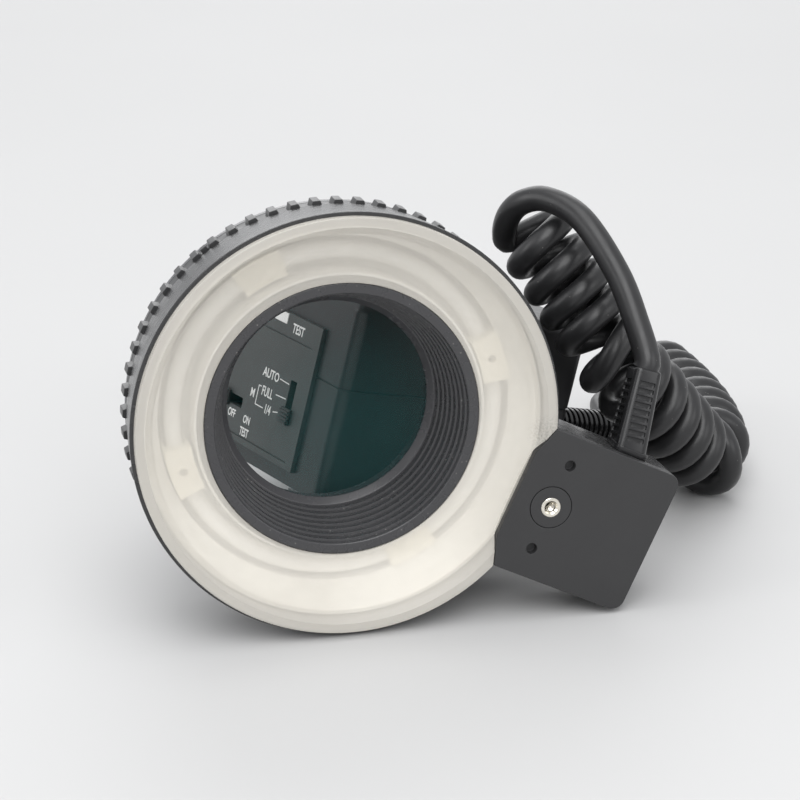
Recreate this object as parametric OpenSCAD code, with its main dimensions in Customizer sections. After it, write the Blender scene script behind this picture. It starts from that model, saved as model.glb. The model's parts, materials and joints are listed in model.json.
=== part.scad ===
// Macro ring flash: a ring head with a junction box, a curly cord and a power pack.
// Millimetres, +Z up. The part stands on z = 0 with its origin under the middle of head and pack.

/* [Front cover] */
// Outer radius of the clear front cover
cover_r = 52; // [50:0.5:55]
// How far the front cover stands in front of the housing
cover_proud = 2.5; // [2:0.1:3.5]
// Wall of the front cover
cover_wall = 1.8; // [1.2:0.1:2.4]
// Width of the flat lip round the front cover
cover_lip = 2.4; // [1.5:0.1:4]
// Inner radius of the front cover, where the baffle starts
opening_r = 34.3; // [33:0.1:36]
// Depth of the dished face at its inner edge
dish_depth = 8.4; // [6:0.1:9]
// Exponent of the dish, larger is steeper at the lip
dish_power = 1.5; // [1.1:0.1:2.5]

/* [Housing] */
// How far the housing stands outside the cover
bezel_step = 1; // [0.2:0.1:1.5]
// Wall of the housing
housing_wall = 2; // [1.5:0.1:2.5]
// Depth of the wide front part of the housing
front_depth = 20; // [18:0.5:21]
// How much narrower the housing's side is at its rear end
side_taper = 1.6; // [0:0.1:2]
// Step from the housing's side in to the collar's spigot
spigot_step = 6; // [5:0.1:7]
// Length of the collar's spigot
spigot_len = 5.5; // [4.5:0.1:7]
// Thickness of the wall round the baffle
inner_wall = 3; // [2.4:0.1:4]

/* [Baffle and glass] */
// Width of the baffle's flat front ring
baffle_lip = 2.6; // [1.5:0.1:3]
// Number of steps down the baffle
baffle_steps = 7; // [4:1:10]
// Inner radius of the baffle at its rear end
baffle_rear_r = 27.4; // [26.5:0.1:28.5]
// Free radius of the glass inside its retaining ring
clear_r = 25.5; // [24:0.1:26.4]
// Thickness of the glass retaining ring
retainer_t = 2; // [1.5:0.1:3]
// Depth of the glass's front face behind the cover's lip
glass_depth = 27.4; // [26.5:0.1:29]
// Thickness of the protective glass
glass_t = 2; // [1.5:0.1:2.5]
// Thickness of the rear lip that carries the glass
rear_lip_t = 1.5; // [1:0.1:2]
// Width of the rear lip that carries the glass
rear_lip_w = 1.8; // [1.2:0.1:2.4]

/* [Mounting collar] */
// Number of grip teeth round the collar
tooth_count = 60; // [40:1:72]
// Height of a grip tooth
tooth_h = 1.65; // [1:0.05:2.2]
// Width of a grip tooth at its root
tooth_w = 3; // [2:0.1:3.2]
// Wall of the collar under the teeth
collar_wall = 3.55; // [3:0.05:4]
// Length of the toothed part of the collar
collar_len = 4.8; // [4:0.1:6.5]
// Running clearance of the collar on its spigot
collar_fit = 0.05; // [0.02:0.01:0.1]
// Axial gap on each side of the collar
collar_gap = 0.2; // [0.1:0.05:0.4]
// Thickness of the collar's retaining plate
plate_t = 1.2; // [0.8:0.1:1.6]
// Thickness of the adapter plate
adapter_plate_t = 2; // [1.5:0.1:2.4]
// Outer radius of the adapter's lens thread
lens_thread_r = 29; // [27.5:0.5:30]
// Length of the adapter's lens thread
lens_thread_len = 2.4; // [1.8:0.1:2.6]

/* [Release button] */
// Angle of the release button round the collar
button_angle = 126; // [110:1:140]
// Width of the release button along the rim
button_w = 1.8; // [1.4:0.1:2]
// Length of the release button along the ring's axis
button_len = 2.2; // [1.8:0.1:2.4]
// Travel of the release button
button_travel = 0.8; // [0.5:0.1:1]

/* [Flash tubes] */
// Radius of the ring that the flash tubes follow
tube_ring_r = 40.4; // [39:0.1:42]
// Radius of a flash tube
tube_r = 2.2; // [1.5:0.1:2.6]
// Height of the tubes' centre over the reflector floor
tube_lift = 4; // [3:0.1:6]
// Thickness of the reflector sheet
reflector_t = 0.6; // [0.4:0.1:1]
// Angle from the box to the tubes' end holders
holder_angle = 142; // [135:1:150]
// Angle from the box to the lamp shrouds
shroud_angle = 42; // [35:1:50]

/* [Junction box] */
// Direction of the junction box round the ring
box_angle = -26; // [-30:1:-20]
// Distance from the ring's axis to the box's outer side
box_reach = 84.6; // [80:0.1:88]
// Width of the junction box
box_w = 37.6; // [34:0.1:40]
// Depth of the junction box from front to back
box_depth = 16.5; // [14:0.1:16.8]
// Corner radius of the junction box
box_round = 3.2; // [1:0.1:5]
// Distance from the ring's axis to the box's inner edge
box_inner = 45.9; // [44:0.1:47]
// Length of the straight part of the box's inner edge
box_inner_w = 22.6; // [18:0.1:26]
// Radius of the round boss in the box cover
boss_r = 5.35; // [4:0.05:6]
// Distance from the ring's axis to the threaded insert
insert_reach = 55.7; // [54:0.1:62]
// Outer radius of the threaded insert
insert_r = 2.5; // [2:0.1:3]
// Radius of the insert's hole
insert_hole_r = 1.25; // [1:0.05:1.7]
// Length of the threaded insert
insert_len = 5; // [4:0.1:7]
// Radius of the two locating holes
pin_hole_r = 1.35; // [1:0.05:1.6]
// Distance between the two locating holes
pin_hole_pitch = 22.8; // [18:0.1:26]
// Depth of the two locating holes
pin_hole_depth = 2; // [1.2:0.1:2.2]

/* [Strain reliefs] */
// Distance from the ring's axis to the head strain relief
boot_reach = 71; // [62:0.5:74]
// Backward tilt of the head strain relief
boot_tilt = 12; // [0:1:20]
// Sideways lean of the head strain relief towards the ring
boot_lean = 8; // [0:1:15]
// Length of the head strain relief
boot_len = 21; // [15:0.5:26]
// Width of the head strain relief at its foot
boot_w = 8.8; // [8:0.1:11]
// Width of the head strain relief at its tip
boot_tip_w = 7.4; // [7:0.1:9]
// Number of slots along the head strain relief
boot_slots = 9; // [4:1:10]
// Length of the pack strain relief
tail_boot_len = 22; // [16:0.5:28]
// Outer radius of the pack strain relief
tail_boot_r = 4.8; // [4.3:0.1:6]
// Number of ribs on the pack strain relief
tail_boot_ribs = 11; // [6:1:14]

/* [Cord] */
// Diameter of the cord
cord_d = 6.6; // [5.5:0.1:6.8]
// Radius of a curl at the middle of the cord
curl_r = 8.6; // [7.5:0.1:9]
// Gap between neighbouring curls on a straight stretch
curl_gap = 0.9; // [0.7:0.05:1.5]
// How much wider the first curls are spaced
curl_loose = 0.15; // [0:0.05:0.4]

/* [Pack] */
// Width of the pack
pack_w = 66; // [62:0.5:70]
// Depth of the pack from panel to back
pack_d = 77.5; // [75:0.5:84]
// Height of the pack
pack_h = 54; // [52:0.5:60]
// Height of the seam between the two shells
seam_h = 30.4; // [29:0.1:33]
// Wall of the pack's shells
pack_wall = 2; // [1.6:0.1:2.4]
// Radius of the pack's upright corners
pack_round = 3; // [2:0.1:4]
// Radius of the pack's top edge
pack_top_round = 3.5; // [2:0.1:5]

/* [Control panel] */
// Width of the raised control panel
panel_w = 41.4; // [36:0.1:46]
// Height of the raised control panel
panel_h = 38.7; // [36:0.1:40]
// Height of the panel's lower edge over the pack's bottom
panel_z = 4; // [3:0.1:6]
// How far the panel stands proud
panel_proud = 1.2; // [0.8:0.1:2]
// Width of the panel's edge that lies on the shells
panel_rim = 1.8; // [1.2:0.1:2.5]
// Travel of the mode slider
mode_travel = 8; // [6:0.1:9]
// Travel of the power slider
power_travel = 6.4; // [5:0.1:7]
// Running gap round a slider
slider_gap = 0.2; // [0.15:0.05:0.4]

/* [Battery bay] */
// Radius of a battery cell
cell_r = 7.1; // [6.5:0.05:7.2]
// Length of a battery cell
cell_len = 50; // [46:0.5:52]
// Number of battery cells
cell_count = 4; // [4:1:4]
// Clear gap between neighbouring cells
cell_gap = 0.8; // [0.3:0.1:1]
// Height of the battery door
door_h = 14; // [12:0.1:14.5]
// Gap round the battery door
door_gap = 0.3; // [0.2:0.05:0.5]
// Radius of the battery door's hinge pin
hinge_pin_r = 0.5; // [0.4:0.05:0.6]
// Running clearance of the door on its hinge pin
hinge_fit = 0.05; // [0.02:0.01:0.1]

/* [Accessory shoe] */
// Width of the shoe's foot plate
foot_w = 18.6; // [18:0.1:18.7]
// Length of the shoe's foot plate
foot_len = 18; // [16:0.1:20]
// Thickness of the shoe's foot plate
foot_t = 2; // [1.5:0.1:2.2]
// Height of the whole shoe under the pack
foot_h = 11; // [10.5:0.1:12]
// Radius of the threaded stem under the pack
stem_r = 6.2; // [5:0.1:7]
// Outer radius of the lock ring
lock_r = 11; // [9:0.1:13]
// Height of the lock ring
lock_h = 3.6; // [3:0.1:4]
// Running clearance of the lock ring on the stem
lock_fit = 0.05; // [0.02:0.01:0.1]

/* [Stance] */
// Angle that the ring leans back
head_tilt = 4.4; // [3:0.1:6]
// Angle that the ring is turned
head_turn = 13.4; // [10:0.1:16]
// Angle that the pack is turned
pack_turn = -55.2; // [-58:0.1:-52]

/* [Hidden] */
$fn = 72;
eps = 0.01;

housing_r = cover_r + bezel_step;
rear_r = housing_r - side_taper;
housing_in = rear_r - housing_wall;
spigot_r = housing_r - spigot_step;
spigot_in = spigot_r - housing_wall;
spigot_end = front_depth + spigot_len;
floor_front = spigot_end - housing_wall;
lip_in = cover_r - cover_lip;
cover_seat = dish_depth + cover_wall;
cover_fit = 0.3;
skirt_r = housing_in - cover_fit;
skirt_depth = 6;

loose_fit = 0.1;
baffle_r = opening_r - 2.1;
bore_r = baffle_r + loose_fit;
inner_wall_r = bore_r + inner_wall;
baffle_end = glass_depth - retainer_t;
rear_lip_r = bore_r - rear_lip_w;
glass_back = glass_depth + glass_t;
housing_end = glass_back + rear_lip_t;

collar_bore = spigot_r + collar_fit;
root_r = collar_bore + collar_wall;
tip_r = root_r + tooth_h;
collar_front = front_depth + collar_gap;
collar_end = collar_front + collar_len;
plate_front = max(spigot_end, collar_end + collar_gap);
plate_end = plate_front + plate_t;
plate_r = root_r - 2;
skirt_gap = 0.3;
collar_back = plate_end + 0.4;
adapter_back = collar_back + adapter_plate_t;
adapter_hole_r = inner_wall_r + 0.5;
adapter_ring_r = adapter_hole_r + 5;
adapter_web_front = max(adapter_back, housing_end + 0.3);
adapter_web_back = adapter_web_front + 1;
thread_wall = 2;
thread_end = adapter_web_back + lens_thread_len;

button_seat = collar_bore + 0.9;
button_leaf_t = 0.25;
button_flange = 0.5;
button_flange_t = 0.8;
button_base = button_seat + button_leaf_t + button_travel + 0.1;
button_stop = button_base + button_flange_t + 0.05;
button_top = tip_r - 0.1;
tooth_taper = 0.64;
button_depth = (collar_front + collar_end) / 2;
side_gap = 0.15;

reflector_r = spigot_in - 0.3;
reflector_in = inner_wall_r + 0.3;
channel_out = reflector_r - reflector_t;
channel_in = reflector_in + reflector_t;
tube_depth = floor_front - reflector_t - tube_lift;
tube_wall = 0.6;
holder_span = 12;
shroud_span = 12;
block_wall = 1.2;
block_half = tube_r + block_wall;
block_top = tube_depth - tube_r - 0.8;
tunnel_r = tube_r + 0.3;
lamp_r = 0.9;
lamp_len = 3;
lamp_web = 0.5;
lamp_seat = tube_depth - tunnel_r - lamp_web;

box_front = cover_proud;
tray_cut_r = rear_r - 1;
cover_plate_t = cover_proud;
insert_proud = 0.2;
screw_r = 0.8;
screw_head_r = 1.6;
screw_head_t = 0.3;
screw_count = 4;
board_t = 1.6;
board_w = 24;
board_x = box_reach - housing_wall - 1 - board_w / 2;
board_lift = 2;

// Standing height of the head: the housing, the collar or the box's lower corner meets the floor
box_drop = (box_reach - box_round) * sin(-box_angle) + (box_w / 2 - box_round) * cos(box_angle) + box_round;
head_h = max(
    housing_r * cos(head_tilt) + cover_proud * sin(head_tilt),
    rear_r * cos(head_tilt) + front_depth * sin(head_tilt),
    tip_r * cos(head_tilt) + collar_end * sin(head_tilt),
    box_drop * cos(head_tilt) + box_depth * sin(head_tilt)
);

// The pack leans back on its rear lower edge and the rear edge of its foot
foot_y = 30.6;
pack_pitch = atan(foot_h / (pack_d - foot_y - foot_len / 2));
pack_rise = pack_d * sin(pack_pitch);

// Middle of head and pack seen from above, measured from the ring's centre
layout_mid = [12.4, 61.4, 0];
head_at = [0, 0, head_h] - layout_mid;
pack_at = [-28.4, 58.9, pack_rise] - layout_mid;

cord_r = cord_d / 2;
curl_pitch = cord_d + curl_gap;
curl_rings = 8;
curl_sides = 6;
lead_sides = 8;
lead_step = 13;

// Middle lines of the curls, of the lead from the box and of the tail to the pack, from the ring's centre
floor_gap = 0.25;
curl_low = curl_r + cord_r + floor_gap;
tail_low = cord_r + floor_gap;
curl_route = [
    [46.6, 72.6, 82.6], [49.8, 70.9, 78.2], [53.8, 68.7, 72.3], [59, 66.2, 64.7], [63.5, 63.7, 57.9],
    [67.8, 61.2, 51.5], [73.3, 62.6, 43.5], [79.8, 67.4, 34.1], [86.3, 73.7, 24.9],
    [91.5, 80, curl_low + 5], [95.3, 85, curl_low + 0.8], [97.6, 92.5, curl_low], [98, 101, curl_low],
    [97.5, 111, curl_low], [96, 123, curl_low], [93.5, 135, curl_low], [90.5, 146, curl_low],
    [88, 154, curl_low]
];
lead_route = [
    [73, 32.5, 62], [71.5, 37, 68], [67, 46, 78.5], [58.5, 57, 89.5], [50, 64, 92.8], [43.8, 68, 91],
    [40.4, 72, 86.3], [39.4, 76, 80.4]
];
tail_route = [
    [76, 155, tail_low], [72.5, 151.5, tail_low], [72.5, 145, tail_low], [74, 136, tail_low + 0.5],
    [77, 127, tail_low + 1.5], [79, 118.5, tail_low + 4.5], [78.5, 111, tail_low + 8]
];
curl_start = 90;
lead_stub = 2.5;
loose_run = 20;

panel_mid = panel_z + panel_h / 2;
panel_in_w = panel_w - 2 * panel_rim;
panel_in_h = panel_h - 2 * panel_rim;
mode_x = 13.5;
mode_low = 17.2;
knob_w = 4.2;
knob_h = 4.2;
knob_proud = 1.3;
stem_w = 2.4;
slot_w = stem_w + 2 * slider_gap;
power_x = -15;
power_z = 14.3;
switch_t = 4;
switch_w = 7;
switch_end = 2.3;
stem_end = pack_wall + 1;
knob_ribs = 4;
lamp_w = 5.8;
lamp_h = 2.9;
lamp_x = 1.9;
lamp_z = 39.6;

bay_y = pack_d / 2;
cell_step = 2 * cell_r + cell_gap;
cell_z = pack_wall + cell_r + 0.05;
cell_x = -28;
cell_end = cell_x + cell_len;
bay_top = cell_z + cell_r + 0.6;
contact_t = 0.5;
chassis_t = 1.5;
chassis_top = bay_top + chassis_t;
stand_h = 2;
board_top = chassis_top + stand_h + board_t;
main_board_w = 54;
main_board_d = 52;
stand_r = 2;
stand_off = 22;
cap_r = 11;
cap_len = 42;
cap_x = -12;
core_size = [16, 18, 14];
winding_size = [12, 21, 10];
transformer_x = 14;
transformer_y = 10;
pack_screw_r = 2.3;
pack_screw_t = 1;
pack_screw_x = 24;
pack_screw_y = 30;
pack_screw_sink = 0.2;
driver_slot = [0.6, 3.4];
post_r = 2.6;
post_x = pack_w / 2 - pack_wall - post_r - 1.4;
post_front = pack_wall + post_r + 0.2;
post_back = pack_d - post_front;
door_z = pack_wall + 1;
door_front = 8.3;
door_back = pack_d - 7.6;
hinge_x = -pack_w / 2 + pack_wall / 2;
hinge_y = door_back + pack_wall / 2 + 0.3;
opening_end = hinge_y + pack_wall / 2 + 0.6;
lug_h = 3;
strip_w = cell_step + 8;
strip_h = 9;
cone_r = 3;
cone_tip_r = 1.6;
tail_x = pack_w / 2 - 10;
tail_z = 23.5;

boss_h = 2;
lock_top = -boss_h - 0.2;
washer_t = 0.8;
lock_bottom = lock_top - lock_h;
contact_r = 1.1;
contact_proud = 0.5;
contact_back = 1;
shoe_flange = 1.5;
foot_pad_t = 1.2;
foot_pad_end = 2;
grip_count = 36;
grip_cut = 0.8;

// Frames of the sub-assemblies

module head_frame() {
    translate(head_at) rotate([90 - head_tilt, 0, head_turn]) children();
}

module box_frame() {
    head_frame() rotate([0, 0, box_angle]) children();
}

module pack_frame() {
    translate(pack_at) rotate([-pack_pitch, 0, pack_turn]) children();
}

// Places on the head and the pack as points, from the ring's centre
function polar(r, a) = [r * cos(a), r * sin(a)];
function turn_z(a, p) = [p.x * cos(a) - p.y * sin(a), p.x * sin(a) + p.y * cos(a), p.z];
function turn_x(a, p) = [p.x, p.y * cos(a) - p.z * sin(a), p.y * sin(a) + p.z * cos(a)];
function head_dir(p) = turn_z(head_turn, turn_x(90 - head_tilt, p));
function box_dir(p) = head_dir(turn_z(box_angle, p));
function pack_dir(p) = turn_z(pack_turn, turn_x(-pack_pitch, p));
boot_dir = box_dir([-cos(boot_tilt) * sin(boot_lean), cos(boot_tilt) * cos(boot_lean), -sin(boot_tilt)]);
boot_base = [0, 0, head_h] + box_dir([boot_reach, box_w / 2, -box_depth / 2]);
lead_start = boot_base + boot_len * boot_dir;
tail_dir = pack_dir([0, 1, 0]);
tail_end = pack_at + layout_mid + pack_dir([tail_x, pack_d + tail_boot_len, tail_z]);

// Small shapes that repeat

module ring(r_out, r_in, front, back) {
    translate([0, 0, -back]) difference() {
        cylinder(r = r_out, h = back - front);
        translate([0, 0, -1]) cylinder(r = r_in, h = back - front + 2);
    }
}

module disc(r, front, back) {
    translate([0, 0, -back]) cylinder(r = r, h = back - front);
}

module block(size, at) {
    translate(at - [size.x, size.y, 0] / 2) cube(size);
}

module round_rect(w, d, r) {
    square([w - 2 * r, d], center = true);
    square([w, d - 2 * r], center = true);
    for (sx = [-1, 1], sy = [-1, 1]) translate([sx * (w / 2 - r), sy * (d / 2 - r)]) circle(r = r);
}

// Curves: a smooth line through chosen points, and a tube swept along a list of points
function unit(v) = v / norm(v);
function spline_at(p0, p1, p2, p3, t) =
    0.5 * (2 * p1 + (p2 - p0) * t + (2 * p0 - 5 * p1 + 4 * p2 - p3) * t * t
    + (3 * p1 - p0 - 3 * p2 + p3) * t * t * t);
function spline(pts, per) = let (n = len(pts)) [
    for (i = [0:n - 2], k = [0:per - 1])
        spline_at(pts[max(i - 1, 0)], pts[i], pts[i + 1], pts[min(i + 2, n - 1)], k / per),
    pts[n - 1]
];
function running(list, i = 0, sum = 0, out = []) =
    i == len(list) ? out : running(list, i + 1, sum + list[i], concat(out, [sum + list[i]]));
function lengths(line) = concat([0], running([for (i = [1:len(line) - 1]) norm(line[i] - line[i - 1])]));
function at_length(line, run, s, i = 1) =
    i >= len(line) - 1 || run[i] >= s
    ? line[i - 1] + (line[i] - line[i - 1]) * (s - run[i - 1]) / (run[i] - run[i - 1])
    : at_length(line, run, s, i + 1);
function even(line, step) = let (
    run = lengths(line),
    total = run[len(run) - 1],
    n = max(2, ceil(total / step))
) [for (i = [0:n]) i == n ? line[len(line) - 1] : at_length(line, run, total * i / n)];
function tangents(line, first, last) = let (n = len(line)) [
    for (i = [0:n - 1]) i == 0 ? first : i == n - 1 ? last : unit(line[i + 1] - line[i - 1])
];
function across(v, t) = unit(v - (v * t) * t);
function carried(tans, v, i = 0, out = []) =
    i == len(tans) ? out : let (a = across(v, tans[i])) carried(tans, a, i + 1, concat(out, [a]));

module tube(line, first, last, r, sides) {
    tans = tangents(line, unit(first), unit(last));
    side = carried(tans, abs(tans[0].z) < 0.8 ? [0, 0, 1] : [1, 0, 0]);
    n = len(line);
    points = [
        for (i = [0:n - 1], k = [0:sides - 1]) let (a = 360 * k / sides)
            line[i] + r * (cos(a) * side[i] + sin(a) * cross(tans[i], side[i]))
    ];
    walls = [
        for (i = [0:n - 2], k = [0:sides - 1]) let (
            a = i * sides + k,
            b = i * sides + (k + 1) % sides
        ) each [[a, a + sides, b], [b, a + sides, b + sides]]
    ];
    caps = [
        for (k = [1:sides - 2]) let (end = (n - 1) * sides) each [[0, k, k + 1], [end, end + k + 1, end + k]]
    ];
    polyhedron(points, concat(walls, caps));
}

// The curls: the phase runs slower where the middle line bends, so neighbours never touch
curl_line = even(spline(curl_route, 6), curl_pitch / curl_rings / 1.4);
curl_tans = tangents(curl_line, unit(curl_line[1] - curl_line[0]),
    unit(curl_line[len(curl_line) - 1] - curl_line[len(curl_line) - 2]));
curl_side = carried(curl_tans, [-1, 0, 0]);
bend_reach = 6;
function bend(i) = let (
    a = max(0, i - bend_reach),
    b = min(len(curl_line) - 1, i + bend_reach)
) norm(curl_tans[b] - curl_tans[a]) / norm(curl_line[b] - curl_line[a]);
curl_run = lengths(curl_line);
curl_phase = concat([0], running([
    for (i = [1:len(curl_line) - 1])
        360 * norm(curl_line[i] - curl_line[i - 1]) * (1 - curl_r * bend(i))
        / (curl_pitch * (1 + curl_loose * max(0, 1 - curl_run[i] / loose_run)))
]));
function curl_at(phase, i = 1) =
    i >= len(curl_phase) - 1 || curl_phase[i] >= phase
    ? let (
        f = (phase - curl_phase[i - 1]) / (curl_phase[i] - curl_phase[i - 1]),
        mid = curl_line[i - 1] + f * (curl_line[i] - curl_line[i - 1]),
        t = unit(curl_tans[i - 1] + f * (curl_tans[i] - curl_tans[i - 1])),
        s = across(curl_side[i - 1] + f * (curl_side[i] - curl_side[i - 1]), t)
    ) mid + curl_r * (cos(phase + curl_start) * s + sin(phase + curl_start) * cross(t, s))
    : curl_at(phase, i + 1);

// The last curl ends at its lowest point, where the tail lies on the floor
last_i = len(curl_line) - 1;
low_phase = atan2(-cross(curl_tans[last_i], curl_side[last_i]).z, -curl_side[last_i].z) - curl_start;
end_phase = low_phase + 360 * floor((curl_phase[last_i] - low_phase) / 360);
curl_turns = end_phase / 360;
curl_steps = round(curl_turns * curl_rings);
curl_wound = [for (i = [0:curl_steps]) curl_at(end_phase * i / curl_steps)];
curl_first = unit(curl_at(1) - curl_at(0));
curl_last = unit(curl_at(end_phase) - curl_at(end_phase - 1));
curl_points = concat(
    [curl_wound[0] - cord_d * curl_first],
    curl_wound,
    [curl_wound[curl_steps] + cord_d * curl_last]
);
curl_skip = 5;
curl_least = min([
    for (i = [0:len(curl_points) - 1], j = [i + curl_skip:1:len(curl_points) - 1])
        norm(curl_points[i] - curl_points[j])
]) - cord_d;
echo(curl_turns = curl_turns, least_gap_between_curls = curl_least);

// Ring head

function dish_at(t) = dish_depth * (1 - pow(t, dish_power));
dish_steps = 10;
dish = [
    for (i = [0:dish_steps]) let (t = i / dish_steps) [opening_r + (lip_in - opening_r) * t, -dish_at(t)]
];
under = [for (p = dish) if (p.x < skirt_r - cover_wall) [p.x, p.y - cover_wall]];

module box_outline(grow = 0) {
    half = box_w / 2 + grow;
    inner_half = box_inner_w / 2 + grow;
    inner = box_inner - grow;
    meet = sqrt(pow(cover_r, 2) - pow(box_w / 2, 2)) - grow;
    corner = box_reach - box_round;
    polygon([
        [inner, -inner_half], [inner, inner_half], [meet, half],
        for (a = [90:-15:0]) [corner, half - box_round] + polar(box_round, a),
        for (a = [0:-15:-90]) [corner, box_round - half] + polar(box_round, a),
        [meet, -half]
    ]);
}

module front_cover() {
    skirt_in = skirt_r - cover_wall;
    skirt_top = -cover_wall - dish_at((skirt_in - opening_r) / (lip_in - opening_r));
    color([0.88, 0.86, 0.8, 0.6]) difference() {
        head_frame() rotate_extrude() polygon(concat(
            [[cover_r, -cover_proud], [cover_r, 0]],
            [for (i = [dish_steps:-1:0]) dish[i]],
            under,
            [
                [skirt_in, skirt_top], [skirt_in, -skirt_depth],
                [skirt_r, -skirt_depth], [skirt_r, -cover_proud]
            ]
        ));
        box_frame() translate([0, 0, -cover_seat - 1]) linear_extrude(cover_seat + 2) box_outline(side_gap);
    }
}

module head_housing() {
    color([0.16, 0.16, 0.16]) {
        difference() {
            union() {
                head_frame() rotate_extrude() polygon([
                    [housing_r, -cover_proud], [rear_r, -front_depth], [spigot_r, -front_depth],
                    [spigot_r, -spigot_end], [inner_wall_r, -spigot_end], [inner_wall_r, -housing_end],
                    [rear_lip_r, -housing_end], [rear_lip_r, -glass_back], [bore_r, -glass_back],
                    [bore_r, -cover_seat], [inner_wall_r, -cover_seat], [inner_wall_r, -floor_front],
                    [spigot_in, -floor_front], [spigot_in, -front_depth + housing_wall],
                    [housing_in, -front_depth + housing_wall], [housing_in, -cover_proud]
                ]);
                box_frame() difference() {
                    translate([0, 0, -box_depth]) linear_extrude(box_depth - box_front) box_outline();
                    translate([0, 0, -box_depth + housing_wall]) linear_extrude(box_depth)
                        translate([box_reach - housing_wall - 25, 0])
                        square([50, box_w - 2 * housing_wall], center = true);
                    disc(tray_cut_r, -1, box_depth + 1);
                }
            }
            // Pocket for the insert's boss, and passage for the wires into the box
            box_frame() translate([insert_reach, 0, 0]) disc(boss_r + side_gap, -1, insert_len + side_gap);
            box_frame() block([8, 10, 7], [housing_r - 1, 0, -box_depth + housing_wall]);
            head_frame() screw_places() disc(screw_r, floor_front - 1, spigot_end + 1);
        }
    }
}

module reflector() {
    rim = housing_in - 0.5;
    shelf = front_depth - housing_wall;
    top = -cover_seat - 1;
    color([0.86, 0.86, 0.84]) head_frame() rotate_extrude() polygon([
        [reflector_in, top], [reflector_in, -floor_front], [reflector_r, -floor_front],
        [reflector_r, -shelf], [rim, -shelf],
        [rim, -shelf + reflector_t], [channel_out, -shelf + reflector_t],
        [channel_out, -floor_front + reflector_t], [channel_in, -floor_front + reflector_t], [channel_in, top]
    ]);
}

module arc_ring(r, from, to) {
    rotate([0, 0, from]) rotate_extrude(angle = to - from) translate([r, 0]) children();
}

// Angle that half a holder or shroud takes on the tubes' ring
function half_span(w) = asin(w / 2 / tube_ring_r);

module flash_tubes() {
    half = half_span(holder_span) - 3;
    color([0.95, 0.94, 0.9, 0.7]) box_frame() translate([0, 0, -tube_depth]) for (turn = [0, 180])
        rotate([0, 0, holder_angle + turn]) difference() {
            arc_ring(tube_ring_r, half, 180 - half) circle(r = tube_r);
            arc_ring(tube_ring_r, half - 1, 181 - half) circle(r = tube_r - tube_wall);
        }
}

module on_tube_ring(angle) {
    box_frame() for (turn = [0, 180]) rotate([0, 0, angle + turn]) children();
}

module arc_block(span, inner, outer, top, bottom) {
    half = half_span(span);
    rotate([0, 0, -half]) rotate_extrude(angle = 2 * half)
        polygon([[inner, -bottom], [outer, -bottom], [outer, -top], [inner, -top]]);
}

module tube_end_holders() {
    floor_top = floor_front - reflector_t;
    half = half_span(holder_span) - 3;
    color([0.85, 0.82, 0.7]) on_tube_ring(holder_angle) difference() {
        arc_block(holder_span, tube_ring_r - block_half, tube_ring_r + block_half, block_top, floor_top);
        for (from = [half, -half - 10]) translate([0, 0, -tube_depth])
            arc_ring(tube_ring_r, from, from + 10) circle(r = tube_r);
    }
}

module lamp_shrouds() {
    floor_top = floor_front - reflector_t;
    color([0.85, 0.82, 0.7]) on_tube_ring(shroud_angle) difference() {
        arc_block(shroud_span, tube_ring_r - block_half, tube_ring_r + block_half,
            lamp_seat - lamp_len, floor_top);
        // Tunnel over the tube, open to the reflector's floor
        translate([0, 0, -tube_depth]) arc_ring(tube_ring_r, -20, 20) circle(r = tunnel_r);
        arc_block(2 * shroud_span, tube_ring_r - tunnel_r, tube_ring_r + tunnel_r, tube_depth, floor_top + 1);
        translate([tube_ring_r, 0, -lamp_seat]) cylinder(r = lamp_r, h = lamp_len + 1);
    }
}

module focusing_lamps() {
    color([0.95, 0.9, 0.7]) on_tube_ring(shroud_angle) translate([tube_ring_r, 0, -lamp_seat]) {
        cylinder(r = lamp_r, h = lamp_len);
        translate([0, 0, lamp_len]) sphere(r = lamp_r);
    }
}

module inner_baffle() {
    front_r = opening_r - 0.1;
    run = baffle_end - cover_seat;
    first_r = front_r - baffle_lip;
    drop = (first_r - baffle_rear_r) / baffle_steps;
    color([0.13, 0.13, 0.14]) head_frame() rotate_extrude() polygon(concat(
        [[front_r, -dish_depth], [front_r, -cover_seat], [baffle_r, -cover_seat], [baffle_r, -baffle_end]],
        [for (i = [baffle_steps:-1:1]) each [
            [first_r - i * drop, -cover_seat - run * i / baffle_steps],
            [first_r - i * drop, -cover_seat - run * (i - 1) / baffle_steps]
        ]],
        [[first_r, -cover_seat], [first_r, -dish_depth]]
    ));
}

module glass_retaining_ring() {
    color([0.35, 0.34, 0.36]) head_frame() rotate_extrude() polygon([
        [baffle_r, -baffle_end], [baffle_r, -glass_depth], [clear_r, -glass_depth],
        [clear_r, -glass_depth + 0.4], [baffle_rear_r - 0.4, -baffle_end]
    ]);
}

module protective_glass() {
    color([0.55, 0.7, 0.7, 0.35]) head_frame() disc(baffle_r - loose_fit, glass_depth, glass_back);
}

module screw_places() {
    for (i = [0:screw_count - 1]) rotate([0, 0, 45 + 360 * i / screw_count])
        translate([(inner_wall_r + spigot_in) / 2 + 3, 0, 0]) children();
}

module collar_retaining_plate() {
    color([0.62, 0.62, 0.6]) head_frame() difference() {
        union() {
            ring(plate_r, inner_wall_r + 0.3, plate_front, plate_end);
            ring(spigot_r - 1, inner_wall_r + 0.3, spigot_end, plate_front + eps);
        }
        screw_places() disc(screw_r, spigot_end - 1, plate_end + 1);
    }
}

module retaining_screws() {
    color([0.75, 0.75, 0.73]) head_frame() screw_places() {
        disc(screw_r, floor_front + 0.2, plate_end);
        disc(screw_head_r, plate_end, plate_end + screw_head_t);
    }
}

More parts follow.
